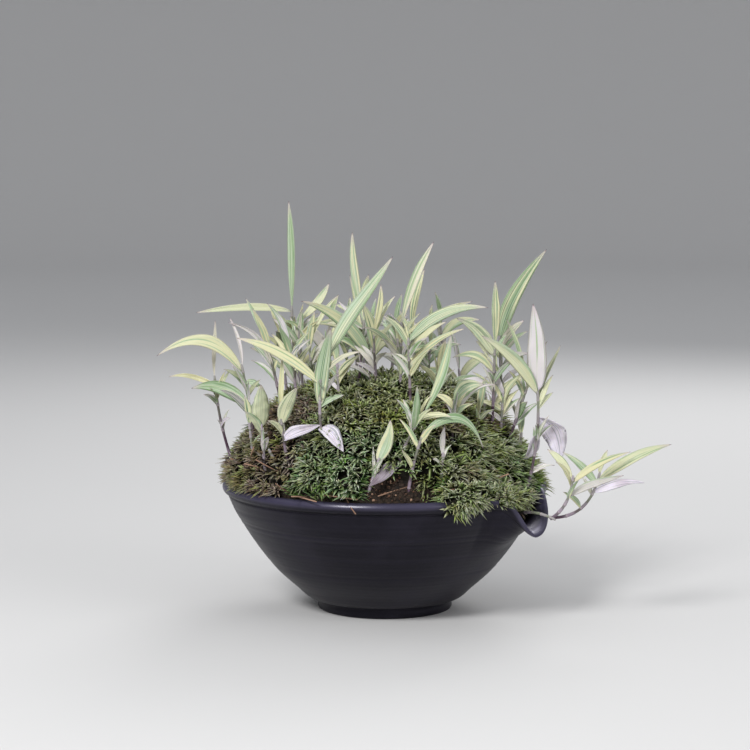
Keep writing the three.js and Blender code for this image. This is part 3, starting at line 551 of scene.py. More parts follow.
# Height, size and seed of the bed's lumps.
BED_LUMPS = ((1.6, 9, 3), (0.7, 2.4, 8))
CLUMP = 12
CLUMP_RISE = 2.2
TUFT_SPACING = 4.0
BACK_SPACING = 1.1
EDGE_SPACING = 1.3
TUFT_LEAVES = 10
LEAF_TURN = 2.4
MOSS_STEM = (0.6, 3.0)
MOSS_LEAF_LENGTH = (5.4, 10)
MOSS_LEAF_WIDTH = (1.3, 2.1)
LEAF_SCALE = {"moss_left": 0.8}
BROWN_MOSS = (0.14, 0.084, 0.07)
OLIVE_MOSS = (0.17, 0.235, 0.02)
BRIGHT_MOSS = (0.05, 0.16, 0.025)
PALE_TIP = (0.84, 0.87, 0.76)
# Angles and radii where tufts of the overhanging cushion also fill the near side of the lip's throat.
THROAT_ANGLES = (-0.88, -0.66)
THROAT_RADII = (99, 117)
THROAT_TUFTS = 90
# The lowest that a fringe hangs inside the rim, and how much higher it ends at the far left.
FRINGE_LOWEST = (85.5, 5.5)
# Middle and half width of the place where bare soil shows between the cushions and the rim.
BARE_SOIL = (6, 15)
# Node, from and to in degrees, inner and outer radius, how green and how bright it is, and its seed.
CUSHIONS = [
    ("moss_mound", 0, 0, MOSS_BORDER, MOSS_BORDER, 0.97, 0.4, 100),
    ("moss_left", 180, 233, MOSS_BORDER, MOSS_OUTER, 0.3, 0.0, 200),
    ("moss_front", 233, 265, MOSS_BORDER, MOSS_OUTER, 1.0, 0.9, 210),
    ("moss_front_upper", 265, 291, MOSS_BORDER, 95, 0.92, 0.35, 220),
    ("moss_right_upper", 291, 346, MOSS_BORDER, 78, 0.35, 0.0, 230),
    ("moss_right", 291, 346, 78, MOSS_OUTER, 0.9, 0.5, 240),
    ("moss_back_right", -14, 83, MOSS_BORDER, MOSS_OUTER, 0.7, 0.2, 250),
    ("moss_back_left", 83, 180, MOSS_BORDER, MOSS_OUTER, 0.75, 0.3, 260),
]
# Which borders get a fringe of tufts: u and v of the border, and how much the fringe droops.
BORDERS = {
    "moss_left": [(None, 1, 0.1)],
    "moss_front": [(None, 1, 0.1), (-1, None, 0.3)],
    "moss_front_upper": [(None, 1, 0.7), (-1, None, 0.2), (1, None, 0.2)],
    "moss_right": [(None, 1, 0.1), (1, None, 0.4)],
    "moss_back_right": [(None, 1, 0.1)],
    "moss_back_left": [(None, 1, 0.1)],
}


def overhang(x, y):
    """1 where the moss hangs over the rim, eased to 0 at both ends."""
    azimuth = np.arctan2(y, x)
    before = smooth_step(OVERHANG_FROM, OVERHANG_FROM + OVERHANG_EASE, azimuth)
    return before * (1 - smooth_step(OVERHANG_TO - OVERHANG_EASE, OVERHANG_TO, azimuth))


def beside_lip(x, y):
    """1 for places out at the rim on the lip's front side, eased in along the rim."""
    start, full, stop = BESIDE_LIP
    angle = np.arctan2(y, x)
    return smooth_step(start, full, angle) * (angle < stop) * smooth_step(*BESIDE_LIP_OUT, np.hypot(x, y))


def kept_inside(x, y):
    """Places beyond the rim's inner edge drawn back to it, except where the moss hangs over."""
    radius, angle = np.hypot(x, y), np.arctan2(y, x)
    reach = INSIDE_RIM + HANGING_REACH * overhang(x, y) * (1 - 0.75 * beside_lip(x, y))
    reach = reach + LEFT_REACH * (angle < LEFT_BEFORE) + RIGHT_REACH * (angle > RIGHT_AFTER)
    share = np.minimum(radius, reach + BEYOND_SHARE * (radius - reach)) / radius
    return x * share, y * share


def wavy_radius(radius, angle):
    """A border's radius with a slow and a quick sine of the angle added."""
    (slow, few), (quick, many) = BORDER_WAVES
    wave = slow * np.sin(few * angle + radius) + quick * np.sin(many * angle)
    return radius + wave if radius < LIP_MOSS_EDGE else radius


def disc(u, v):
    """The square of u and v, each from -1 to 1, bent to a round disc."""
    return u * np.sqrt(1 - v * v / 2), v * np.sqrt(1 - u * u / 2)


def cushion_plan(cushion, u, v):
    """Where a cushion's u and v lie on the plan. The mound's square is bent to a disc with a wavy
    border. On the others u runs against the angle and v outwards over a sector with wavy borders, both
    drawn in towards the corners."""
    name, begin, stop, inner, outer = cushion[:5]
    if name == "moss_mound":
        x, y = disc(u, v)
        angle = np.arctan2(y, x)
        radius = np.hypot(x, y) * (wavy_radius(outer, angle) - MOSS_GAP)
        return radius * np.cos(angle), radius * np.sin(angle)
    along = v * (1 - MOSS_CORNER * u * u)
    across = -u * (1 - MOSS_CORNER * v * v)
    near = (inner + outer) / 2 + along * (outer - inner) / 2
    sides = np.radians([begin, stop])
    first, last = (side + SIDE_WAVE * np.sin(near / 7 + 40 * np.cos(side)) for side in sides)
    angle = (first + last) / 2 + across * ((last - first) / 2 - MOSS_GAP / near)
    off = np.abs(np.arctan2(np.sin(angle - LIP_AZIMUTH), np.cos(angle - LIP_AZIMUTH)))
    full = wavy_radius(outer, angle)
    edge = np.minimum(full, LIP_MOSS_EDGE + (full - LIP_MOSS_EDGE) * smooth_step(*LIP_MOSS_ANGLES, off))
    edge = edge + (OVERHANG * overhang(np.cos(angle), np.sin(angle)) if outer == MOSS_OUTER else 0)
    low, high = wavy_radius(inner, angle) + MOSS_GAP, edge - MOSS_GAP
    radius = (low + high) / 2 + along * (high - low) / 2
    return radius * np.cos(angle), radius * np.sin(angle)


def moss_top(cushion, x, y, u, v):
    """Soil height plus the cushion's bulge, which falls off at its borders, the swelling over the rim,
    bumps and lumps of two sizes, less the depth of the tufts that stand on it."""
    if cushion[0] == "moss_mound":
        u, v = np.hypot(*disc(u, v)), 0
    shoulder = ((1 - np.abs(u) ** 6) * (1 - np.abs(v) ** 6)).clip(0, 1) ** 0.4
    bumps = 1.5 * np.sin(x / 2.9 + 1.4 * np.sin(y / 5)) * np.sin(y / 2.7 + 1.2 * np.sin(x / 4.3))
    uneven = bumps + sum(tall * lumps(x, y, size, seed) for tall, size, seed in BED_LUMPS)
    over = OVERHANG_RISE * overhang(x, y) * smooth_step(*SWELLS_FROM, np.hypot(x, y))
    bulge = MOSS_DEPTH * (MOSS_EDGE_SHARE + (1 - MOSS_EDGE_SHARE) * shoulder)
    return soil_height(x, y) + bulge + shoulder * uneven + over - BED_BELOW


def clump_of(x, y):
    """How far each place is from the nearest clump's middle, 1 where it is a clump's spacing away, and
    the way out from it. Middles stand on a square lattice, each moved by a draw."""
    i, j = np.floor(x / CLUMP), np.floor(y / CLUMP)
    best, way = np.full(np.shape(x), 9.0), np.zeros((*np.shape(x), 2))
    for a in (-1, 0, 1):
        for b in (-1, 0, 1):
            number = (i + a) * 3.17 + (j + b) * 5.71
            off = x / CLUMP - i - a - chance(number), y / CLUMP - j - b - chance(number + 0.4)
            near = np.hypot(*off)
            way = np.where((near < best)[..., None], np.stack(off, -1), way)
            best = np.minimum(near, best)
    return best, way


def bed_shape(cushion, size):
    """A closed pad: for each v one ring over the top from u -1 to 1 and back underneath."""
    columns, rows = (int(length / BED_CELL) for length in size)
    u, v = np.meshgrid(np.linspace(-1, 1, columns + 1), np.linspace(-1, 1, rows + 1))
    x, y = kept_inside(*cushion_plan(cushion, u, v))
    lift = PAST_RIM_LIFT * overhang(x, y) * smooth_step(*PAST_RIM, np.hypot(x, y))
    heights = moss_top(cushion, x, y, u, v), soil_height(x, y) - MOSS_SUNK + lift
    top, low = (np.stack([x, y, np.maximum(height, beside_lip(x, y) * least)], -1)
                for height, least in zip(heights, BED_ON_RIM))
    rings = np.concatenate([top, low[:, ::-1]], 1)[None]
    quads, triangles = tube_faces(1, rings.shape[1], rings.shape[2])
    points = strung(rings[:, 0].mean(1), rings, rings[:, -1].mean(1))
    return points, quads, triangles, {"tone": np.tile(BED_EARTH_AND_SHADE, (len(points), 1))}


def leaf_tones(rng, green, bright, pale):
    """Colours at each leaf's base, low and high on it and at its tip: brown to olive by how green it
    is, on to bright green, uneven from rosette to rosette and leaf to leaf, and fading to a pale tip.
    The base and the low part are darkened far below the leaf's colour: partly the browner leaf base,
    partly painted shade deep in the tuft."""
    count = len(green)
    mix = np.repeat(np.stack([green, bright], -1) + rng.normal(0, 0.2, (count, 2)), TUFT_LEAVES, 0)
    green, bright = np.clip(mix + rng.normal(0, 0.06, mix.shape), 0, 1).T[..., None]
    body = np.array(BROWN_MOSS) * (1 - green) + np.array(OLIVE_MOSS) * green
    body = body * (1 - bright * green) + np.array(BRIGHT_MOSS) * bright * green
    body = body * np.repeat(rng.uniform(0.55, 1.35, (count, 1)), TUFT_LEAVES, 0)
    body = body * rng.uniform(0.75, 1.25, green.shape)
    paled = np.repeat(pale + rng.normal(0, 0.18, count), TUFT_LEAVES)[:, None].clip(0, 1)
    paled = np.clip(paled * rng.uniform(0.3, 1.1, green.shape), 0, 1)
    tip = body * 1.7 * (1 - paled) + np.array(PALE_TIP) * paled
    # Near black at the base and dark low on the leaf: painted shade in the depth of the tuft, over a browner
    # leaf base.
    base_shaded_tones = body * 0.04, body * 0.24, body * 0.55 + tip * 0.4, tip
    return [np.concatenate([shade, np.ones(green.shape)], 1) for shade in base_shaded_tones]


def tuft_shape(feet, upward, lean, green, bright, pale, seed, scale=1.0):
    """Rosettes of narrow three-sided leaves on short stems. The leaves of a rosette start one above
    the other, the lowest leaning out the most. A leaf is a parabola: it sets off along the stem,
    leaning out, and bends further outwards and down."""
    rng = np.random.default_rng(seed)
    count, many = len(feet), TUFT_LEAVES
    shape = (count, many)
    first = unit(np.cross(upward, [0.12, 1, 0.05]))
    second = np.cross(upward, first)
    level = (np.arange(many) / (many - 1)) * np.ones((count, 1))
    turn = LEAF_TURN * np.arange(many) + 2 * np.pi * rng.random((count, 1)) + rng.normal(0, 0.3, shape)
    out = np.cos(turn)[..., None] * first[:, None] + np.sin(turn)[..., None] * second[:, None]
    wide = (1.3 - 1.1 * level + rng.normal(0, 0.15, shape)).clip(0.1)[..., None]
    stem = (rng.uniform(*MOSS_STEM, (count, 1)) * (0.25 + level))[..., None]
    way = unit(upward[:, None] + wide * out + lean[:, None])
    bend = 0.3 * out * wide + 0.5 * lean[:, None] + rng.normal(0, 0.1, (*shape, 3)) - [0, 0, 0.22]
    size = scale * rng.uniform(*MOSS_LEAF_LENGTH, (count, 1)) * rng.uniform(0.7, 1.15, shape)
    foot = (feet[:, None] + stem * upward[:, None]).reshape(-1, 3)
    length, way, bend = (a.reshape(-1, a.shape[-1]) for a in (size[..., None], way, bend))
    at = np.array([0, 0.35, 0.7, 1.0])[:, None, None]
    line = foot + length * (at * way + at**2 * bend)
    along = unit(way + 2 * at * bend)
    side = unit(np.cross(np.repeat(upward, many, 0)[None], along))[:3, :, None]
    over = np.cross(along[:3, :, None], side)
    width = rng.uniform(*MOSS_LEAF_WIDTH, len(foot))[:, None] * np.array([0.7, 1.0, 0.75])[:, None, None]
    corners = np.array([[0.5, 0.12], [-0.5, 0.12], [0, -0.25]])
    rings = line[:3, :, None] + width[:, :, None] * (corners[:, :1] * side + corners[:, 1:] * over)
    quads, triangles = tube_faces(len(foot), 3, 3)
    points = strung(foot - 0.2 * way, rings.transpose(1, 0, 2, 3), line[3])
    base, low, high, tip = leaf_tones(rng, green, bright, pale)
    colours = np.repeat(np.stack([base, low, high], 1)[:, :, None], 3, 2)
    return points, quads, triangles, {"tone": strung(base, colours, tip)}


def tufts_all_over(cushion, size, rng):
    """Tufts at jittered places, gathered into clumps that lean outwards from their middles, and spread
    at the borders. Their colours wander with noise, and they brighten towards the rim. Tufts away from
    a clump's middle, in the hollows between clumps, get less pale tips as painted shade."""
    name, green, bright, seed = cushion[0], *cushion[5:]
    spacing = TUFT_SPACING * (BACK_SPACING if "back" in name else 1)
    columns, rows = (int(length / spacing) for length in size)
    cells = np.meshgrid(np.arange(columns), np.arange(rows))
    u, v = ((2 * (cell + 0.5 + rng.uniform(-0.48, 0.48, cell.shape)) / many - 1).ravel()
            for cell, many in zip(cells, (columns, rows)))
    x, y = kept_inside(*cushion_plan(cushion, u, v))
    far, way = clump_of(x, y)
    height = moss_top(cushion, x, y, u, v) + CLUMP_RISE * (1 - (far / 0.7) ** 2).clip(-0.35)
    height = np.maximum(height, beside_lip(x, y) * rng.uniform(*TUFTS_ON_RIM, len(x)))
    slope = np.stack([soil_height(x - 2, y) - soil_height(x + 2, y),
                      soil_height(x, y - 2) - soil_height(x, y + 2)], -1) / 4
    u_way, v_way = (unit(np.stack(cushion_plan(cushion, u + du, v + dv), -1)
                         - np.stack(cushion_plan(cushion, u - du, v - dv), -1))
                    for du, dv in ((0.01, 0), (0, 0.01)))
    outward = u_way * (u**7)[:, None] + v_way * (v**7 * (0.2 + 0.8 * overhang(x, y)))[:, None]
    rough = rng.normal(0, 0.22, (len(x), 2))
    one = np.ones((len(x), 1))
    upward = unit(np.concatenate([0.8 * slope + 0.6 * outward + 0.8 * way + rough, one], 1))
    lean = 0.3 * slope + 0.2 * outward + 0.55 * way + rng.normal(0, 0.12, (len(x), 2))
    lean = np.concatenate([lean, -0.05 * one], 1)
    greens = np.clip(green + 0.35 * lumps(x, y, 13, 21) + 0.25 * lumps(x, y, 5, 2), 0, 1)
    outer_part = smooth_step(68, 86, np.hypot(x, y) + 5 * lumps(x, y, 11, 4))
    brights = np.clip(bright * (0.3 + 0.7 * outer_part) + 0.3 * lumps(x, y, 17, 31), 0, 1)
    hangs = overhang(x, y) * smooth_step(80, 100, np.hypot(x, y))
    pale = 0.62 + 0.16 * (name == "moss_mound") + 0.3 * bright - 0.3 * (1 - green)
    # Tufts in the hollows between clumps get darker, less pale tips: painted shade.
    pale = np.clip(pale + 0.3 * lumps(x, y, 6, 17) + 0.4 * hangs - 0.4 * (far > 0.5), 0, 1)
    feet = np.stack([x, y, height], -1)
    return tuft_shape(feet, upward, lean, greens, brights, pale, seed + 1, LEAF_SCALE.get(name, 1))


def fringe(cushion, size, border, rng):
    """Tufts in a row along a border, just below its top, which lean out and droop, most where the moss
    hangs over the rim. None stands in front of the lip, nor in front on the bare soil."""
    name, green, bright, seed = cushion[0], *cushion[5:]
    at_u, at_v, droop = border
    many = int((1.5 * size[0] if at_u is None else size[1]) / EDGE_SPACING)
    free = rng.uniform(-0.98, 0.98, many)
    u, v = (free if at is None else np.full(many, float(at)) for at in (at_u, at_v))
    x, y = kept_inside(*cushion_plan(cushion, u, v))
    inner = cushion_plan(cushion, u if at_u is None else 0.9 * u, v if at_v is None else 0.9 * v)
    out = unit(np.stack([x - inner[0], y - inner[1]], -1))
    near_lip = beside_lip(x, y)
    hang = overhang(x, y) * (at_v is not None) * (np.hypot(x, y) > INSIDE_RIM)
    droops = hang * (1 - near_lip)
    z = moss_top(cushion, x, y, 0.97 * u, 0.97 * v)
    z = z - rng.uniform(0.3, 2.5, many) - (3 * droop + 6 * droops) * rng.random(many)
    lowest = FRINGE_LOWEST[0] + FRINGE_LOWEST[1] * (np.arctan2(y, x) < LEFT_BEFORE)
    z = np.where((at_v is None) | (hang > 0.3), z, z - (z - lowest) * rng.random(many))
    z = np.maximum(z, near_lip * rng.uniform(*FRINGE_ON_RIM, many))
    upward = unit(np.concatenate([out * (0.5 + 0.5 * droops)[:, None], np.full((many, 1), 0.7)], 1))
    sag = np.maximum(hang * (1 - 0.8 * near_lip), droop)[:, None]
    lean = np.concatenate([(0.1 + 0.3 * droop) * out, -0.1 - 0.25 * sag], 1)
    feet = np.stack([x - out[:, 0], y - out[:, 1], z], -1)
    greens = np.clip(green + 0.35 * lumps(x, y, 13, 21), 0, 1)
    stands = np.abs(np.arctan2(y, x) - LIP_AZIMUTH) > 0.05
    if name == "moss_front_upper" and at_v:
        stands &= np.abs(x - BARE_SOIL[0]) > BARE_SOIL[1]
    parts = feet, upward, lean, greens, bright + 0 * z, 0.4 + 0.4 * hang
    return tuft_shape(*(part[stands] for part in parts), seed + 2, LEAF_SCALE.get(name, 1))


def throat_tufts(cushion, rng):
    """Tufts drawn at random over the near side of the lip's throat, lower towards its middle."""
    bright, seed = cushion[6:]
    angle, radius = rng.uniform(*THROAT_ANGLES, THROAT_TUFTS), rng.uniform(*THROAT_RADII, THROAT_TUFTS)
    x, y = radius * np.cos(angle), radius * np.sin(angle)
    z = rng.uniform(83, 88, THROAT_TUFTS) - 10 * (angle - THROAT_ANGLES[0])
    feet = np.stack([x, y, z], -1)
    upward = unit(np.array([0.4, -0.3, 0.8]) + rng.normal(0, 0.15, feet.shape))
    lean = np.tile([0.15, -0.15, -0.12], (THROAT_TUFTS, 1))
    return tuft_shape(feet, upward, lean, 0.6 + 0 * x, bright + 0 * x, 0.6 + 0 * x, seed + 3)


def cushion_shape(cushion):
    """The bed, the tufts all over it and the fringes along its borders, from one run of draws."""
    name, begin, stop, inner, outer, _, _, seed = cushion
    rng = np.random.default_rng(seed)
    size = np.radians(stop - begin) * (inner + outer) / 2, (outer - inner) * 1.25
    if name == "moss_mound":
        size = 1.77 * outer, 1.77 * outer
    shapes = [bed_shape(cushion, size), tufts_all_over(cushion, size, rng)]
    shapes += [fringe(cushion, size, border, rng) for border in BORDERS.get(name, [])]
    if name == "moss_right":
        shapes.append(throat_tufts(cushion, rng))
    return together(shapes)


def living_moss():
    """The stored leaf colours, yellowed here and there by noise, rough on the bed and less so on the
    leaves, with a little light in them."""
    constants = {"Specular IOR Level": 0.35, "Subsurface Weight": 0.1, "Subsurface Radius": (0.5, 0.7, 0.2),
                 "Subsurface Scale": 0.0008}
    material, shader, start = new_material("living_moss", constants)
    tone = start.stored("tone", 0)
    uneven = start.noise(260, 2)
    yellowed = start.made("ShaderNodeMix", {"data_type": "RGBA", "blend_type": "MULTIPLY"},
                          {0: 1.0, 6: tone, 7: (0.8, 0.72, 0.5, 1)}, output=2)
    wire_to(shader, {
        "Base Color": uneven.between(0.3, 0.75).colours(tone, yellowed),
        "Roughness": 1 - start.stored("tone", 3) * (0.6 - 0.25 * uneven),
    })
    return material


moss = living_moss()
for cushion in CUSHIONS:
    name = cushion[0]
    made_piece(name.replace("moss", "moss_tufts"), cushion_shape(cushion), moss, [name])

# The bamboo is a dwarf kind with striped leaves. Each shoot is one slim culm, jointed at its nodes and
# rooted in the soil, with leaves that unroll from sheaths round the culm, mostly cream with green lines.
CULM_BASE_RADIUS = 1.05
CULM_TOP_RADIUS = 0.75
CULM_SIDES = 10
CULM_RINGS = 26
# Nodes by share of the culm, the swelling and its half height, and rings above and below a node.
NODE_PLACES = (0.22, 0.45, 0.73, 0.9)
NODE_SWELL = 0.28
NODE_HEIGHT = 0.45
NODE_RINGS = (-1.1, -0.5, -0.2, 0, 0.2, 0.5, 1.1)
# A sheath's length as a share of the culm, and its thickness.
SHEATH_SHARE = 0.11
SHEATH_THICKNESS = 0.13
PLANTING_DEPTH = 9
BLADE_THICKNESS = 0.28
BLADE_STATIONS = 20
SMALL_STATIONS = 7
TIP_CROWDING = 1.25
# Round a blade's section: share of the half width, and share of the thickness below the surface.
BLADE_SECTION = (np.array([-1, -0.7, -0.35, 0, 0.35, 0.7, 1, 0.7, 0.3, 0, -0.3, -0.7]),
                 np.array([0, 0, 0, 0, 0, 0, 0, 1, 1, 1.9, 1, 1.0]))
SMALL_SECTION = np.array([-1, -0.5, 0, 0.5, 1, 0]), np.array([0, 0, 0, 0, 0, 1.0])
BLADE_BASE_WIDTH = 0.8
BLADE_ROUNDNESS = 0.8
# Leaves narrower than this are young and folded. Spears are leaves from a culm's very top, narrower
# than the spear width. The plan's widths are as seen, and a folded leaf is a little wider.
YOUNG_WIDTH = 4
SPEAR_FROM = 0.985
SPEAR_WIDTH = 7
FOLD_WIDENING = 1.06
SUNK = 2.5
FACING_LEAST = 50
FACING_SPREAD = 30
HEADING_SPREAD = 60
UP = np.array([0.01, 0.02, 1]) / np.linalg.norm([0.01, 0.02, 1])
# Short leaves: how many on a culm that ends above TALL_CULM (others have one), then least and spread
# of the place along the culm, of the reach, the rise and the width, and the arch.
SMALL_LEAVES = 6
TALL_CULM = 140
SMALL_PLACE, SMALL_REACH, SMALL_RISE, SMALL_WIDTH, SMALL_ARCH = (0.5, 0.4), (5, 12), (4, 16), (2, 2), 1.5
# Shoots behind the crown: count, seed, middle, half axes of their plan, most lean, least and spread of
# the rise above the soil, of the spear, and of the length and width of the leaves.
BACK_SHOOTS = 14
BACK_SEED = 38
BACK_CENTRE_Y = 46
BACK_SPREAD = (80, 34)
BACK_LEAN = (16, 12)
BACK_RISE, BACK_SPEAR, BACK_LEAF_LENGTH, BACK_LEAF_WIDTH = (34, 22), (18, 12), (26, 14), (5, 3)
GOLDEN_ANGLE = np.pi * (3 - 5**0.5)
CREAM = (0.65, 0.61, 0.36, 1), (0.56, 0.6, 0.42, 1)
LILAC_WHITE = (0.66, 0.6, 0.67, 1)
SEA_GREEN = (0.39, 0.48, 0.34, 1), (0.27, 0.38, 0.2, 1)
LEAF_GREEN = (0.13, 0.24, 0.09, 1)
DARK_LINE = (0.08, 0.16, 0.1, 1)
VEIN = (0.3, 0.36, 0.2, 1)
RIB = (0.7, 0.7, 0.5, 1)
MARGIN = (0.74, 0.73, 0.6, 1)
FADED_END = (0.5, 0.4, 0.42, 1)
DARK_POINT = (0.1, 0.045, 0.08, 1)
WITHERED_LEAF = (0.78, 0.73, 0.82, 1), (0.6, 0.53, 0.6, 1)
WITHERED_LINE = (0.16, 0.2, 0.2, 1)
WITHERED_BROWN = (0.12, 0.08, 0.1, 1)
CULM = (0.06, 0.026, 0.05, 1), (0.2, 0.23, 0.15, 1)
CULM_BLOOM = (0.36, 0.28, 0.38, 1)
SHEATH = (0.4, 0.33, 0.4, 1)
NODE_RING = (0.4, 0.34, 0.36, 1)
# Withered leaves: row in the plan and place in that row, and how brown each has turned.
WITHERED = {(3, 3): 0.1, (10, 4): 0.05, (18, 2): 0.75, (28, 2): 0.0, (28, 3): 0.2, (37, 3): 0.1}
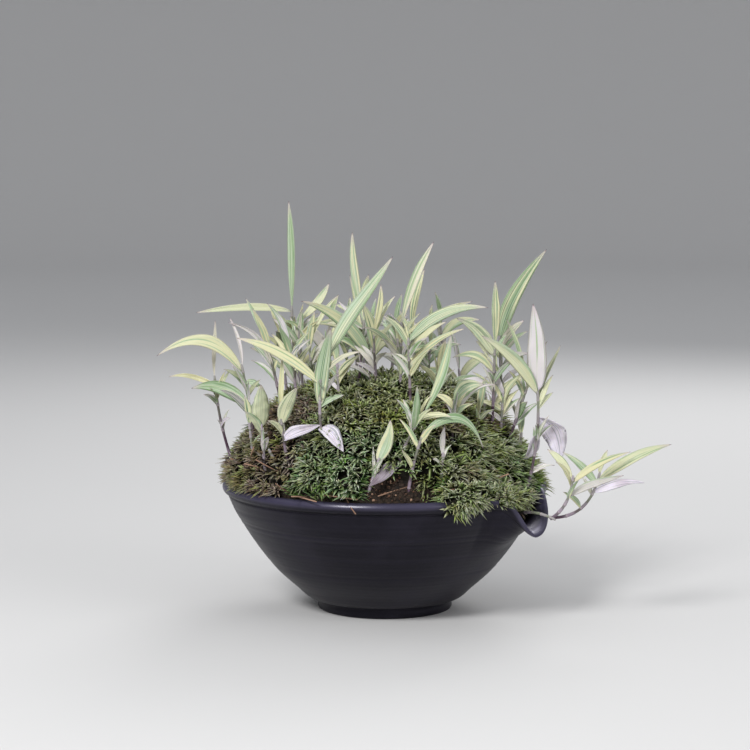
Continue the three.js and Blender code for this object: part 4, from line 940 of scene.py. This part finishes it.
# Each shoot: its name, foot x, y and sometimes z, top, bow of its middle, and its leaves: place along
# the culm, tip x, y, z, width, arch of the middle and sometimes the facing angle.
PLAN = [
    ("shoot_left_edge", (-99, -12), (-115, -12, 160), (-3, 0, 0), [
        (1, -114, -16, 198, 3, 1), (0.94, -147, -2, 158, 3.5, 3), (0.8, -107, -20, 164, 3, 1)]),
    ("shoot_left_arching", (-86, -26), (-96, -26, 169), (1, 0, 0), [
        (1, -104, -22, 200, 3, 2), (0.95, -152, -34, 175, 9, 16, 70), (0.62, -131, -10, 151, 9.5, 6, 70),
        (0.78, -107, -40, 167, 4, 3), (0.86, -82, -32, 152, 5, 2), (0.5, -109, -46, 154, 5, 3)]),
    ("shoot_left_front", (-78, -59), (-81, -64, 134), (0, 0, 0), [
        (1, -81, -68, 160, 12, 1, 85), (0.88, -91, -74, 143, 5.5, 2), (0.6, -76, -72, 126, 4, 2)]),
    ("shoot_left_dry_leaf", (-60, -72), (-68, -70, 139), (-1, 0, 0), [
        (1, -67, -66, 179, 3.5, 1), (0.95, -57, -78, 159, 9, 2, 80), (0.76, -76, -82, 138, 4.5, 2),
        (0.7, -42, -80, 135, 6, 3, 60)]),
    ("shoot_tall", (-61, 20), (-64, 20, 205), (0, 0, 0), [
        (1, -66, 24, 277, 5, 1, 85), (0.98, -129, 6, 201, 5.5, 3, 60), (0.6, -54, 12, 189, 3, 1)]),
    ("shoot_upper_left_1", (-67, -14), (-81, -14, 186), (1, 0, 0), [
        (1, -94, -8, 212, 3, 1), (0.9, -89, -20, 206, 5, 2), (0.78, -105, -26, 197, 3.5, 6),
        (0.55, -91, -6, 170, 4, 3)]),
    ("shoot_upper_left_2", (-58, -22), (-65, -22, 186), (1, 0, 0), [
        (0.95, -79, -26, 210, 4.5, 3), (0.84, -71, -32, 196, 4.5, 1), (0.52, -76, -33, 176, 6, 3),
        (0.66, -49, -14, 182, 4, 1)]),
    ("shoot_upper_left_3", (-55, 4), (-59, 4, 198), (0, 0, 0), [
        (1, -38, 10, 221, 6, -2), (0.92, -69, -4, 197, 3, 1), (0.8, -56, -2, 204, 6, 2, 85),
        (0.64, -65, 14, 198, 3, 1)]),
    ("shoot_upper_left_4", (-46, -2), (-52, -2, 183), (0, 0, 0), [
        (0.9, -48, 0, 203, 5, 1), (1, -32, 6, 213, 3, 2), (0.7, -35, -10, 189, 4, 2)]),
    ("shoot_upper_left_5", (-9, -20), (-11, -20, 177), (0, 0, 0), [
        (1, -56, -36, 212, 8.5, 7, 75), (0.6, -32, -40, 170, 4, 3), (0.75, 1, -26, 177, 4, 2)]),
    ("shoot_front_left", (-37, -75), (-36, -74, 182), (-6, 0, 0), [
        (1, 5, -64, 243, 8.5, 2, 80), (0.55, -35, -84, 198, 9.5, 3, 85), (0.74, -96, -78, 191, 7, 5, 65),
        (0.84, -16, -88, 183, 4.5, 3), (0.36, -27, -92, 119, 9, 3, 40)]),
    ("shoot_centre_1", (-19, -18), (-14, -18, 198), (0, 0, 0), [
        (1, -22, -12, 257, 5.5, -2, 85), (0.94, -35, -28, 201, 4, 2), (0.74, -24, -8, 228, 3, 1),
        (0.84, -32, -4, 210, 3, 2), (0.66, -38, -22, 186, 5, 4)]),
    ("shoot_centre_2", (-13, 8), (-16, 8, 201), (0, 0, 0), [
        (1, -11, 10, 227, 5.5, 1), (0.9, -35, 20, 206, 4, 3), (0.64, 3, 0, 190, 4, 3),
        (0.78, -40, 4, 194, 5.5, 4)]),
    ("shoot_centre_3", (-5, -32), (-8, -32, 192), (0, 0, 0), [
        (1, -3, -36, 223, 4, -2), (0.95, 7, -26, 215, 5, 3), (0.82, -15, -42, 211, 8, 3, 80),
        (0.74, 8, -40, 200, 4, 3)]),
    ("shoot_centre_4", (10, -10), (11, -10, 196), (0, 0, 0), [
        (1, 33, -4, 250, 6, 3, 80), (0.87, 0, -20, 202, 3.5, 2), (0.77, 24, -16, 203, 3.5, 2),
        (0.62, 36, -22, 178, 5, 4), (0.7, -4, 0, 196, 4, 3)]),
    ("shoot_centre_5", (19, 6), (19, 6, 189), (0, 0, 0), [
        (1, 27, 10, 231, 5, 3, 80), (0.8, 10, 16, 202, 3.5, 2), (0.62, 37, 0, 180, 4, 2),
        (0.88, 46, 12, 204, 6, 4)]),
    ("shoot_centre_6", (12, -34), (8, -34, 187), (0, 0, 0), [
        (1, 58, -40, 212, 3.5, 4), (0.7, 23, -44, 170, 3.5, 4), (0.62, 0, -42, 187, 4, 3),
        (0.84, -14, -50, 196, 5, 3)]),
    ("shoot_centre_7", (17, -50), (15, -50, 189), (0, 0, 0), [
        (1, 68, -42, 208, 7.5, 8, 65), (0.85, 40, -58, 200, 5.5, 3), (0.72, 52, -64, 196, 4.5, 4),
        (0.57, 3, -56, 180, 4, 2), (0.94, -2, -58, 204, 4.5, 3)]),
    ("shoot_front_curled", (5, -89), (26, -90, 146), (-3, 0, 0), [
        (1, 42, -84, 194, 6, -3, 85), (0.92, 42, -96, 142, 5, 2), (0.36, -11, -108, 99, 6.6, -3, 62),
        (0.76, 20, -96, 162, 6, -3)]),
    ("shoot_front_arched", (14, -96), (25, -96, 134), (-2, 0, 0), [
        (1, 63, -88, 120, 7, 15, 60), (0.86, 32, -102, 138, 4, 1), (0.5, 10, -103, 122, 3, 1)]),
    ("shoot_right_folded", (43, -62), (45, -62, 149), (0, 0, 0), [
        (1, 64, -68, 160, 10, 5, 75), (0.88, 32, -56, 152, 4.5, 3), (0.76, 73, -52, 158, 4.5, 7),
        (0.68, 57, -74, 148, 4, 3)]),
    ("shoot_bud", (35, -88), (37, -88, 118), (0, 0, 0), [
        (1, 38, -88, 135, 4.5, 1, 80), (0.7, 30, -97, 115, 4, 2, 40)]),
    ("shoot_front_short", (-13, -97), (-4, -98, 116), (0, 0, 0), [
        (1, 3, -94, 140, 8, -2, 85), (0.6, -1, -104, 117, 3, 1)]),
    ("shoot_right_1", (71, -30), (73, -30, 184), (0, 0, 0), [
        (1, 73, -28, 225, 6, 1, 85), (0.92, 47, -42, 201, 8.5, 4, 75), (0.76, 45, -22, 173, 5.5, 7),
        (0.66, 86, -38, 174, 3.5, 2), (0.56, 49, -36, 158, 6, 5)]),
    ("shoot_right_2", (81, -10), (77, -10, 187), (0, 0, 0), [
        (1, 109, -6, 245, 10, 5, 80), (0.93, 93, -20, 198, 6, 2), (0.84, 97, 0, 189, 4, 3),
        (0.66, 63, 2, 175, 4, 3), (0.74, 96, -26, 176, 5, 4)]),
    ("shoot_right_3", (76, -26), (79, -26, 151), (0, 0, 0), [
        (1, 70, -28, 179, 7, -3, 85), (0.86, 92, -30, 164, 4, 3), (0.7, 88, -20, 150, 5, 2)]),
    ("shoot_right_4", (79, -20), (96, -20, 155), (0, 0, 0), [
        (1, 81, -16, 199, 3, 2), (0.94, 108, -28, 185, 3.5, 1), (0.58, 95, -28, 144, 6, 2),
        (0.5, 105, -12, 142, 5, 2)]),
    ("shoot_right_5", (89, -16), (92, -16, 122), (0, 0, 0), [
        (1, 92, -16, 140, 4.5, 1, 80)]),
    ("shoot_right_edge", (88, -46), (101, -34, 154), (5, 0, 0), [
        (1, 98, -32, 210, 12.5, 1, 85), (0.98, 63, -48, 190, 8, 5, 70), (0.8, 117, -30, 103, 12, 13, 70),
        (0.66, 92, -34, 106, 6, -3), (0.93, 119, -4, 180, 3.5, 2), (0.36, 114, -26, 101, 5, 2)]),
    ("sprout_left", (-86, -42), (-90, -44, 132), (0, 0, 0), [
        (1, -93, -44, 150, 4.5, 1, 80)]),
    ("sprout_crown_left", (-30, -36), (-32, -38, 172), (0, 0, 0), [
        (1, -36, -40, 192, 5, 1, 80), (0.8, -16, -52, 178, 4, 2)]),
    ("sprout_crown_right", (34, -30), (36, -32, 164), (0, 0, 0), [
        (1, 40, -34, 186, 5, 1, 80), (0.8, 22, -38, 170, 4, 2)]),
    ("sprout_right", (60, -44), (62, -46, 142), (0, 0, 0), [
        (1, 66, -48, 162, 5, 1, 80)]),
    ("culm_stub_left", (-66, -66), (-76, -70, 118), (0, 0, 0), []),
    ("culm_stub_right", (66, -24), (67, -25, 150), (0, 0, 0), []),
    ("shoot_trailing", (75, -60), (109, -92, 75), (0, 0, 5), []),
    ("shoot_trailing", (106, -89, 75), (120, -94, 104), (3, 0, -3), [
        (1, 104, -86, 120, 5, 2), (0.85, 108, -102, 114, 4, 3), (0.7, 152, -100, 105, 5, 2),
        (0.95, 158, -84, 118, 4.5, 3)]),
    ("shoot_trailing", (106, -89, 76), (139, -76, 104), (5, 0, -8), [
        (1, 144, -74, 118, 3.5, 1), (0.9, 115, -70, 116, 5, 2), (0.94, 185, -78, 122, 7, 3, 65),
        (0.8, 167, -84, 98, 5, 3), (0.75, 127, -66, 100, 4, 2)]),
]
# Row and place of a leaf: how green it is, and how lilac.
TONES = {(0, 1): (0.2, 0), (1, 1): (0.3, 0), (1, 2): (0.85, 0), (2, 0): (0.2, 0), (3, 1): (0.15, 0),
         (3, 2): (0.1, 0), (4, 0): (0.8, 0), (4, 1): (0.3, 0), (9, 0): (0.55, 0), (10, 0): (0.5, 0),
         (10, 1): (0.7, 0), (10, 2): (0.35, 0), (10, 3): (0.3, 0.3), (11, 0): (0.6, 0.1), (12, 0): (0.6, 0),
         (13, 2): (0.4, 0), (14, 0): (0.45, 0.3), (16, 0): (0.2, 0), (17, 0): (0.5, 0), (18, 0): (0.8, 0),
         (18, 1): (0.2, 0), (19, 0): (0.8, 0), (20, 0): (0.55, 0), (21, 0): (0.1, 0.7), (21, 1): (0.2, 0.5),
         (22, 0): (0.35, 0), (23, 0): (0.6, 0), (23, 1): (0.3, 0), (24, 0): (0.85, 0), (24, 1): (0.2, 0.5),
         (25, 0): (0.1, 0.9), (28, 0): (0.25, 0.8), (28, 1): (0.5, 0), (36, 3): (0.3, 0), (37, 2): (0.35, 0)}


def ranged(least, spread, draw):
    """The least, plus the spread times a draw from 0 to 1."""
    return least + spread * draw


def back_shoot(index):
    """A shoot behind the crown on a sunflower pattern: the angle grows by the golden angle and the
    radius by the square root of the count. Lean, height and leaves are drawn."""
    draws = [float(chance(BACK_SEED + index + step / 16)) for step in range(12)]
    spread, angle = ((index + 0.5) / BACK_SHOOTS) ** 0.5, index * GOLDEN_ANGLE
    x = BACK_SPREAD[0] * spread * np.cos(angle)
    y = BACK_CENTRE_Y + BACK_SPREAD[1] * spread * np.sin(angle)
    lean_x, lean_y = BACK_LEAN[0] * (draws[1] - 0.5), BACK_LEAN[1] * (draws[2] - 0.3)
    top = x + lean_x, y + lean_y, soil_height(x, y) + ranged(*BACK_RISE, draws[3])
    leaves = [(1, top[0] + lean_x, top[1] + lean_y, top[2] + ranged(*BACK_SPEAR, draws[4]), 3.5, 1)]
    for order, at in enumerate((0.9, 0.72)):
        turn = 2 * np.pi * draws[5] + order * np.pi
        length = ranged(*BACK_LEAF_LENGTH, draws[6 + order])
        side = top[0] + length * np.cos(turn), top[1] + 0.7 * length * np.sin(turn)
        width = ranged(*BACK_LEAF_WIDTH, draws[10 + order])
        leaves.append((at, *side, top[2] + ranged(-2, 12, draws[8 + order]), width, 5))
    return f"shoot_back_{index + 1:02d}", (x, y), top, (0, 0, 0), leaves


def bowed(start, end, offset):
    """The three points of a quadratic curve whose middle is moved off the straight line."""
    return start, (start + end) / 2 + 2 * offset, end


def on_curve(curve, t):
    """Start times (1 - t) squared, middle times 2 t (1 - t), end times t squared."""
    return curve[0] * (1 - t) ** 2 + curve[1] * 2 * t * (1 - t) + curve[2] * t**2


def along_curve(curve, t):
    """The direction of that curve."""
    return unit((curve[1] - curve[0]) * (1 - t) + (curve[2] - curve[1]) * t)


def culm_shape(curve, seed):
    """A round tube along the curve. Its radius tapers, swells by a Gaussian at each node, and is a
    little larger above a node, where the papery sheath is wrapped round."""
    length = np.linalg.norm(curve[2] - curve[0])
    nodes = np.array(NODE_PLACES) + 0.04 * (chance(seed + np.arange(4)) - 0.5)
    near = (nodes[:, None] + np.array(NODE_RINGS) / length).ravel()
    t = np.sort(np.concatenate([np.linspace(0, 1, CULM_RINGS), near[near < 0.995]]))[:, None]
    off = (t - nodes) * length
    ring = np.exp(-((off / NODE_HEIGHT) ** 2)).sum(1, keepdims=True)
    sheath = ((off > 0) & (off < SHEATH_SHARE * length)).any(1, keepdims=True) * 1.0
    radius = CULM_BASE_RADIUS + (CULM_TOP_RADIUS - CULM_BASE_RADIUS) * t
    radius = radius * (1 + NODE_SWELL * ring) + SHEATH_THICKNESS * sheath
    radius[-1] *= 0.7
    way = along_curve(curve, t)
    across = unit(np.cross([0, 1, 0], way))
    circle = circles(across, np.cross(way, across), CULM_SIDES)
    rings = (on_curve(curve, t)[:, None] + radius[:, None] * circle)[None]
    quads, triangles = tube_faces(1, len(t), CULM_SIDES)
    none = 0 * t
    values = {"along": t, "across": none, "wide": none, "leaf": none, "seed": none + chance(seed),
              "dry": sheath, "ring": ring.clip(0, 1), "green": none, "lilac": none}
    plain = np.ones((1, len(t), CULM_SIDES, 1))
    values = {key: strung(v[:1], v[None, :, None] * plain, v[-1:]) for key, v in values.items()}
    return strung(curve[0][None], rings, curve[2][None]), quads, triangles, values


def half_width(s, leaves, width, drawn):
    """Half the width times the sine of pi s to a power, to the BLADE_ROUNDNESS. The power, which says
    how far along the blade is fullest, is drawn, but narrow spears are fullest in their middle. Near
    the culm it is never less than half the width at the base."""
    spear = (leaves[:, :1, None] > SPEAR_FROM) & (width < SPEAR_WIDTH)
    fullest = np.where(spear, 1.05, 0.58 + 0.26 * drawn)
    return np.maximum(width * np.sin(np.pi * s**fullest) ** BLADE_ROUNDNESS, BLADE_BASE_WIDTH * (1 - s)) / 2


def blade_shape(bases, leaves, numbers, dry, greens, lilacs, small):
    """Blades swept along bowed lines from culm to tip, which wander sideways and twist. Across the
    blade the surface rises by the fold times the distance from the midrib, falls by the curl times its
    square, and waves lengthwise; a keel runs beneath. Withered blades fold, twist and wander more."""
    tips, width, arch = leaves[:, 1:4], leaves[:, 4:5], leaves[:, 5:6]
    arch, width = arch * (1 - 0.5 * dry[:, None]), width * (1 + 0.25 * dry[:, None])
    chord = unit(tips - bases)
    curve = bowed(bases, tips, unit(UP - (chord @ UP)[:, None] * chord) * arch)
    curve = [part[:, None] for part in curve]
    tilt = np.where(np.isnan(leaves[:, 6]), FACING_LEAST + FACING_SPREAD * chance(numbers), leaves[:, 6])
    tilt, heading = np.radians(tilt), np.radians(HEADING_SPREAD * (chance(numbers + 0.5) - 0.5))
    face = np.stack([np.sin(heading) * np.sin(tilt), -np.cos(heading) * np.sin(tilt), np.cos(tilt)], -1)
    side = unit(np.cross(chord, face))[:, None]
    stations, (across, below) = (SMALL_STATIONS, SMALL_SECTION) if small else (BLADE_STATIONS, BLADE_SECTION)
    s = 1 - (1 - np.linspace(0, 1, stations + 1)[:-1, None]) ** TIP_CROWDING
    way = along_curve(curve, s)
    length = np.linalg.norm(tips - bases, axis=1)[:, None, None]
    draws = [chance(numbers * 3.1 + step)[:, None, None] for step in range(8)]
    dried, broad = dry[:, None, None], width[:, None]
    wander = 0.02 * length * (draws[0] - 0.5) * np.sin(2 * np.pi * s) * (1 + 1.5 * dried)
    centre = on_curve(curve, s) + wander * side
    twist = (draws[1] - 0.5) * (0.5 + 1.6 * dried) * (s - 0.1)
    flat = np.cos(twist) * side + np.sin(twist) * np.cross(side, way)
    normal = unit(np.cross(flat, way))
    half = half_width(s, leaves, broad, draws[7])
    fold = np.where(broad < YOUNG_WIDTH, 0.7, 0.12 + 0.4 * draws[2] ** 2) + 0.5 * dried
    curl = 0.25 * draws[3] * (broad >= YOUNG_WIDTH)
    wave = np.sin(2 * np.pi * ((2 + 2 * draws[5]) * s + draws[6])) * np.sin(np.pi * s)
    wave = (0.03 + 0.1 * draws[4]) * wave
    rise = half * (np.abs(across) * (fold + wave * np.sign(across)) - curl * across**2)
    rise = rise - BLADE_THICKNESS * below * np.minimum(1, 3 * half)
    rings = centre[:, :, None] + (half * across)[..., None] * flat[:, :, None]
    rings = rings + rise[..., None] * normal[:, :, None]
    quads, triangles = tube_faces(len(bases), stations, len(across))
    one = np.ones(rings.shape[:3])
    ends = np.zeros((len(bases), 1))
    per_leaf = {"leaf": ends + 1, "seed": chance(numbers * 1.7 + 0.2)[:, None], "dry": dry[:, None],
                "ring": ends, "wide": width, "green": greens[:, None], "lilac": lilacs[:, None]}
    values = {key: strung(v, v[:, None, None] * one[..., None], v) for key, v in per_leaf.items()}
    values["along"] = strung(ends, (s * one)[..., None], ends + 1)
    values["across"] = strung(ends, (across * one)[..., None], ends)
    return strung(bases, rings, tips), quads, triangles, values


def small_leaf(curve, number):
    """One of the short leaves on a culm's upper half. Its place, its direction all round, and how far
    it reaches out and rises are drawn, and the farther it reaches the wider it is."""
    draws = [float(chance(number * 1.9 + step)) for step in range(4)]
    place, reach, turn = ranged(*SMALL_PLACE, draws[0]), ranged(*SMALL_REACH, draws[2]), 6.3 * draws[1]
    way = [reach * np.cos(turn), reach * np.sin(turn), ranged(*SMALL_RISE, draws[3])]
    return place, *(on_curve(curve, place) + way), ranged(*SMALL_WIDTH, draws[2]), SMALL_ARCH, np.nan


def leaf_looks(number, numbers, at, short):
    """How withered, green and lilac each leaf of a row is, as listed for it, or else drawn. Leaves
    lower on the culm and short ones are lilac more often."""
    share = 0.18 + 0.42 * smooth_step(0.95, 0.6, at) + 0.2 * short
    lilacs = (chance(numbers * 2.3) < share) * (0.45 + 0.5 * chance(numbers * 5.1))
    looks = []
    for place, drawn in enumerate(lilacs):
        key = number, place
        green, lilac = TONES.get(key, (0.05 + 0.7 * chance(number * 3.3 + place), drawn))
        looks.append((key in WITHERED, WITHERED.get(key, green), lilac))
    return np.array(looks, float).T


def shoot_shape(rows):
    """All culms and blades of the rows of the plan that grow as one shoot."""
    shapes = []
    for number, (_, foot, top, bow, leaves) in rows:
        z = foot[2] if len(foot) == 3 else soil_height(*foot) - PLANTING_DEPTH
        curve = bowed(*(np.array(point, float) for point in ((*foot[:2], z), top, bow)))
        shapes.append(culm_shape(curve, number * 7.0))
        if not leaves:
            continue
        listed, added = len(leaves), SMALL_LEAVES if top[2] > TALL_CULM else 1
        leaves = [*leaves, *(small_leaf(curve, number * 5 + order) for order in range(added))]
        leaves = np.array([(*leaf, np.nan)[:7] for leaf in leaves], float)
        leaves[:listed, 4] *= FOLD_WIDENING
        order = np.arange(len(leaves))
        short = order >= listed
        numbers = number * 7.0 + order + 3.4 * short
        at = leaves[:, :1]
        bases = on_curve(curve, at) - SUNK * along_curve(curve, at)
        parts = bases, leaves, numbers, *leaf_looks(number, numbers, at[:, 0], short)
        for which, small in ((~short, False), (short, True)):
            shapes.append(blade_shape(*(part[which] for part in parts), small))
    return together(shapes)


def striped_bamboo():
    """Blades: cream with bands of sea green along them, more bands the greener the leaf is, a few fine
    dark lines, fine veins, pale margins, and a dark point. Lilac leaves have lilac white for cream, and
    withered ones are all lilac white with grey lines. Culms: purple brown to grey green and lilac."""
    constants = {"Specular IOR Level": 0.45, "Subsurface Weight": 0.12, "Subsurface Radius": (0.6, 0.7, 0.35),
                 "Subsurface Scale": 0.0007}
    material, shader, start = new_material("striped_bamboo", constants)
    names = "along", "across", "wide", "leaf", "seed", "dry", "ring", "green", "lilac"
    along, across, wide, leaf, seed, dry, ring, green, lilac = (start.stored(name) for name in names)
    margin = start.maths("ABSOLUTE", across)
    aside = across * wide * 0.5
    bands, lines = (start.made("ShaderNodeCombineXYZ", None, dict(enumerate(parts))) for parts in (
        (aside * 0.45 + seed * 91, along * 0.7, seed * 37), (aside + seed * 53, along * 0.5, seed * 29)))
    band = start.noise(1.0, 1.5, 0.55, bands) + green * 0.38 + margin**3 * 0.06
    narrow = start.noise(1.7, 1.0, 0.5, lines)
    lined = start.maths("FRACT", seed * 3.7).between(0.25, 0.7)
    line = narrow.between(0.59, 0.63) * (1 - margin**2 * 0.5) * lined
    veins = start.maths("SINE", aside * 15.0)
    rib = 1 - start.maths("ABSOLUTE", aside).between(0.06, 0.22)
    mottle = start.noise(90, 3)
    choice = start.maths("FRACT", seed * 7.3)
    cream = (along * 0.3 + choice * 0.7).colours(*CREAM)
    cream = (lilac + (1 - along.between(0.0, 0.14)) * 0.35).colours(cream, LILAC_WHITE)
    blade = band.between(0.68, 0.78).colours(cream, narrow.between(0.4, 0.6).colours(*SEA_GREEN))
    blade = (green.between(0.45, 0.7) * band.between(0.88, 0.96) * 0.8).colours(blade, LEAF_GREEN)
    blade = (line * 0.9).colours(blade, DARK_LINE)
    blade = (veins * 0.06 + 0.06).colours(blade, VEIN)
    blade = (rib * 0.35).colours(blade, RIB)
    blade = (margin.between(0.84, 1.0) * 0.55).colours(blade, MARGIN)
    blade = (along.between(0.8, 0.97) * 0.6).colours(blade, FADED_END)
    blade = along.between(0.955, 1.0).colours(blade, DARK_POINT)
    withered = mottle.between(0.35, 0.75).colours(*WITHERED_LEAF)
    withered = (narrow.between(0.54, 0.62) * 0.6).colours(withered, WITHERED_LINE)
    withered = (green * (0.7 + mottle * 0.5)).colours(withered, WITHERED_BROWN)
    stem = (along + mottle * 0.6 - 0.3 + choice * 0.5).between(0.3, 1.2).colours(*CULM)
    bloom = mottle.between(0.48, 0.7) * 0.5 * choice + choice.between(0.6, 0.9) * 0.4
    stem = bloom.colours(stem, CULM_BLOOM)
    stem = (dry * 0.35 + dry * choice * 0.3).colours(stem, SHEATH)
    stem = (ring * 0.7).colours(stem, NODE_RING)
    wire_to(shader, {
        "Base Color": leaf.colours(stem, dry.colours(blade, withered)),
        "Roughness": 0.38 + dry * 0.25 + mottle * 0.12,
        "Normal": (veins * 0.5 * leaf + mottle * 0.4).bump(0.35, 0.00018),
    })
    return material


bamboo = striped_bamboo()
rows = list(enumerate(PLAN + [back_shoot(index) for index in range(BACK_SHOOTS)]))
for name in dict.fromkeys(row[0] for _, row in rows):
    shape = shoot_shape([(number, row) for number, row in rows if row[0] == name])
    made_piece(f"{name}_grown", shape, bamboo, [name])

# The stage: a pale floor that curves up into a low wall, a light-grey room, three soft lamps, and the
# camera at the photograph's angle, just above the plant and a metre and a half away. The floor is in
# millimetres, and the lamps and the camera are in metres.
FLOOR_RADII = (1500, 3000)
FLOOR_EDGE = 4500
FLOOR_BEND = 1500
WALL_TOP = 3000
FLOOR_SIDES = 96
CROWN = np.array([0, 0, 0.14])
CAMERA_PLACE = (-0.0068, -1.4998, 0.3115)
CAMERA_TILT = 84.2
# Width of the camera's film, the focal length that fits the photograph and its width in pixels.
FILM_WIDTH, FOCAL_PIXELS, PHOTO_PIXELS = 36, 2218, 750


def floor_shape():
    """A disc, a quarter circle up from its edge and a wall, turned about the vertical."""
    bend = np.linspace(0, np.pi / 2, 12)
    curved = zip(FLOOR_EDGE + FLOOR_BEND * np.sin(bend), FLOOR_BEND - FLOOR_BEND * np.cos(bend))
    profile = [*((radius, 0) for radius in FLOOR_RADII), *curved, (FLOOR_EDGE + FLOOR_BEND, WALL_TOP)]
    turn = np.linspace(0, 2 * np.pi, FLOOR_SIDES, endpoint=False)
    r, z = (np.array(profile)[::-1, i, None] + 0 * turn for i in (0, 1))
    rings = np.stack([r * np.cos(turn), r * np.sin(turn), z], -1)[None]
    quads, triangles = tube_faces(1, len(profile), FLOOR_SIDES)
    points = strung(np.array([[0, 0, float(WALL_TOP)]]), rings, np.zeros((1, 3)))
    return points, quads, triangles[FLOOR_SIDES:], {}


paint = new_material("pale_floor", {"Base Color": (0.6, 0.595, 0.59, 1), "Roughness": 0.9})[0]
floor = placed("floor", mesh_of("floor", floor_shape(), paint))

world = bpy.data.worlds.new("room")
world.use_nodes = True
world.node_tree.nodes["Background"].inputs["Color"].default_value = (0.86, 0.88, 0.92, 1)
world.node_tree.nodes["Background"].inputs["Strength"].default_value = 0.62
bpy.context.scene.world = world
bpy.context.scene.view_settings.view_transform = "Standard"


def soft_lamp(name, place, aim, size, power):
    """A square lamp that shines at a point: turned about the vertical and tipped by the arc cosine
    of the height of the way to it."""
    lamp = bpy.data.lights.new(name, "AREA")
    lamp.size = size
    lamp.energy = power
    made = placed(name, lamp)
    made.location = place
    away = unit(np.array(place, float) - aim)
    made.rotation_euler = (np.arccos(away[2]), 0, np.arctan2(away[1], away[0]) + np.pi / 2)


soft_lamp("key_lamp", (-0.7, -1.4, 1.3), CROWN, 0.5, 31)
soft_lamp("fill_lamp", (1.4, -1.0, 0.8), CROWN, 1.0, 9)
soft_lamp("back_lamp", (0.5, 1.3, 1.1), CROWN, 0.8, 10)

camera = placed("camera", bpy.data.cameras.new("camera"))
camera.location = CAMERA_PLACE
camera.rotation_euler = (np.radians(CAMERA_TILT), 0, 0)
camera.data.sensor_width = FILM_WIDTH
camera.data.lens = FILM_WIDTH * FOCAL_PIXELS / PHOTO_PIXELS
bpy.context.scene.camera = camera
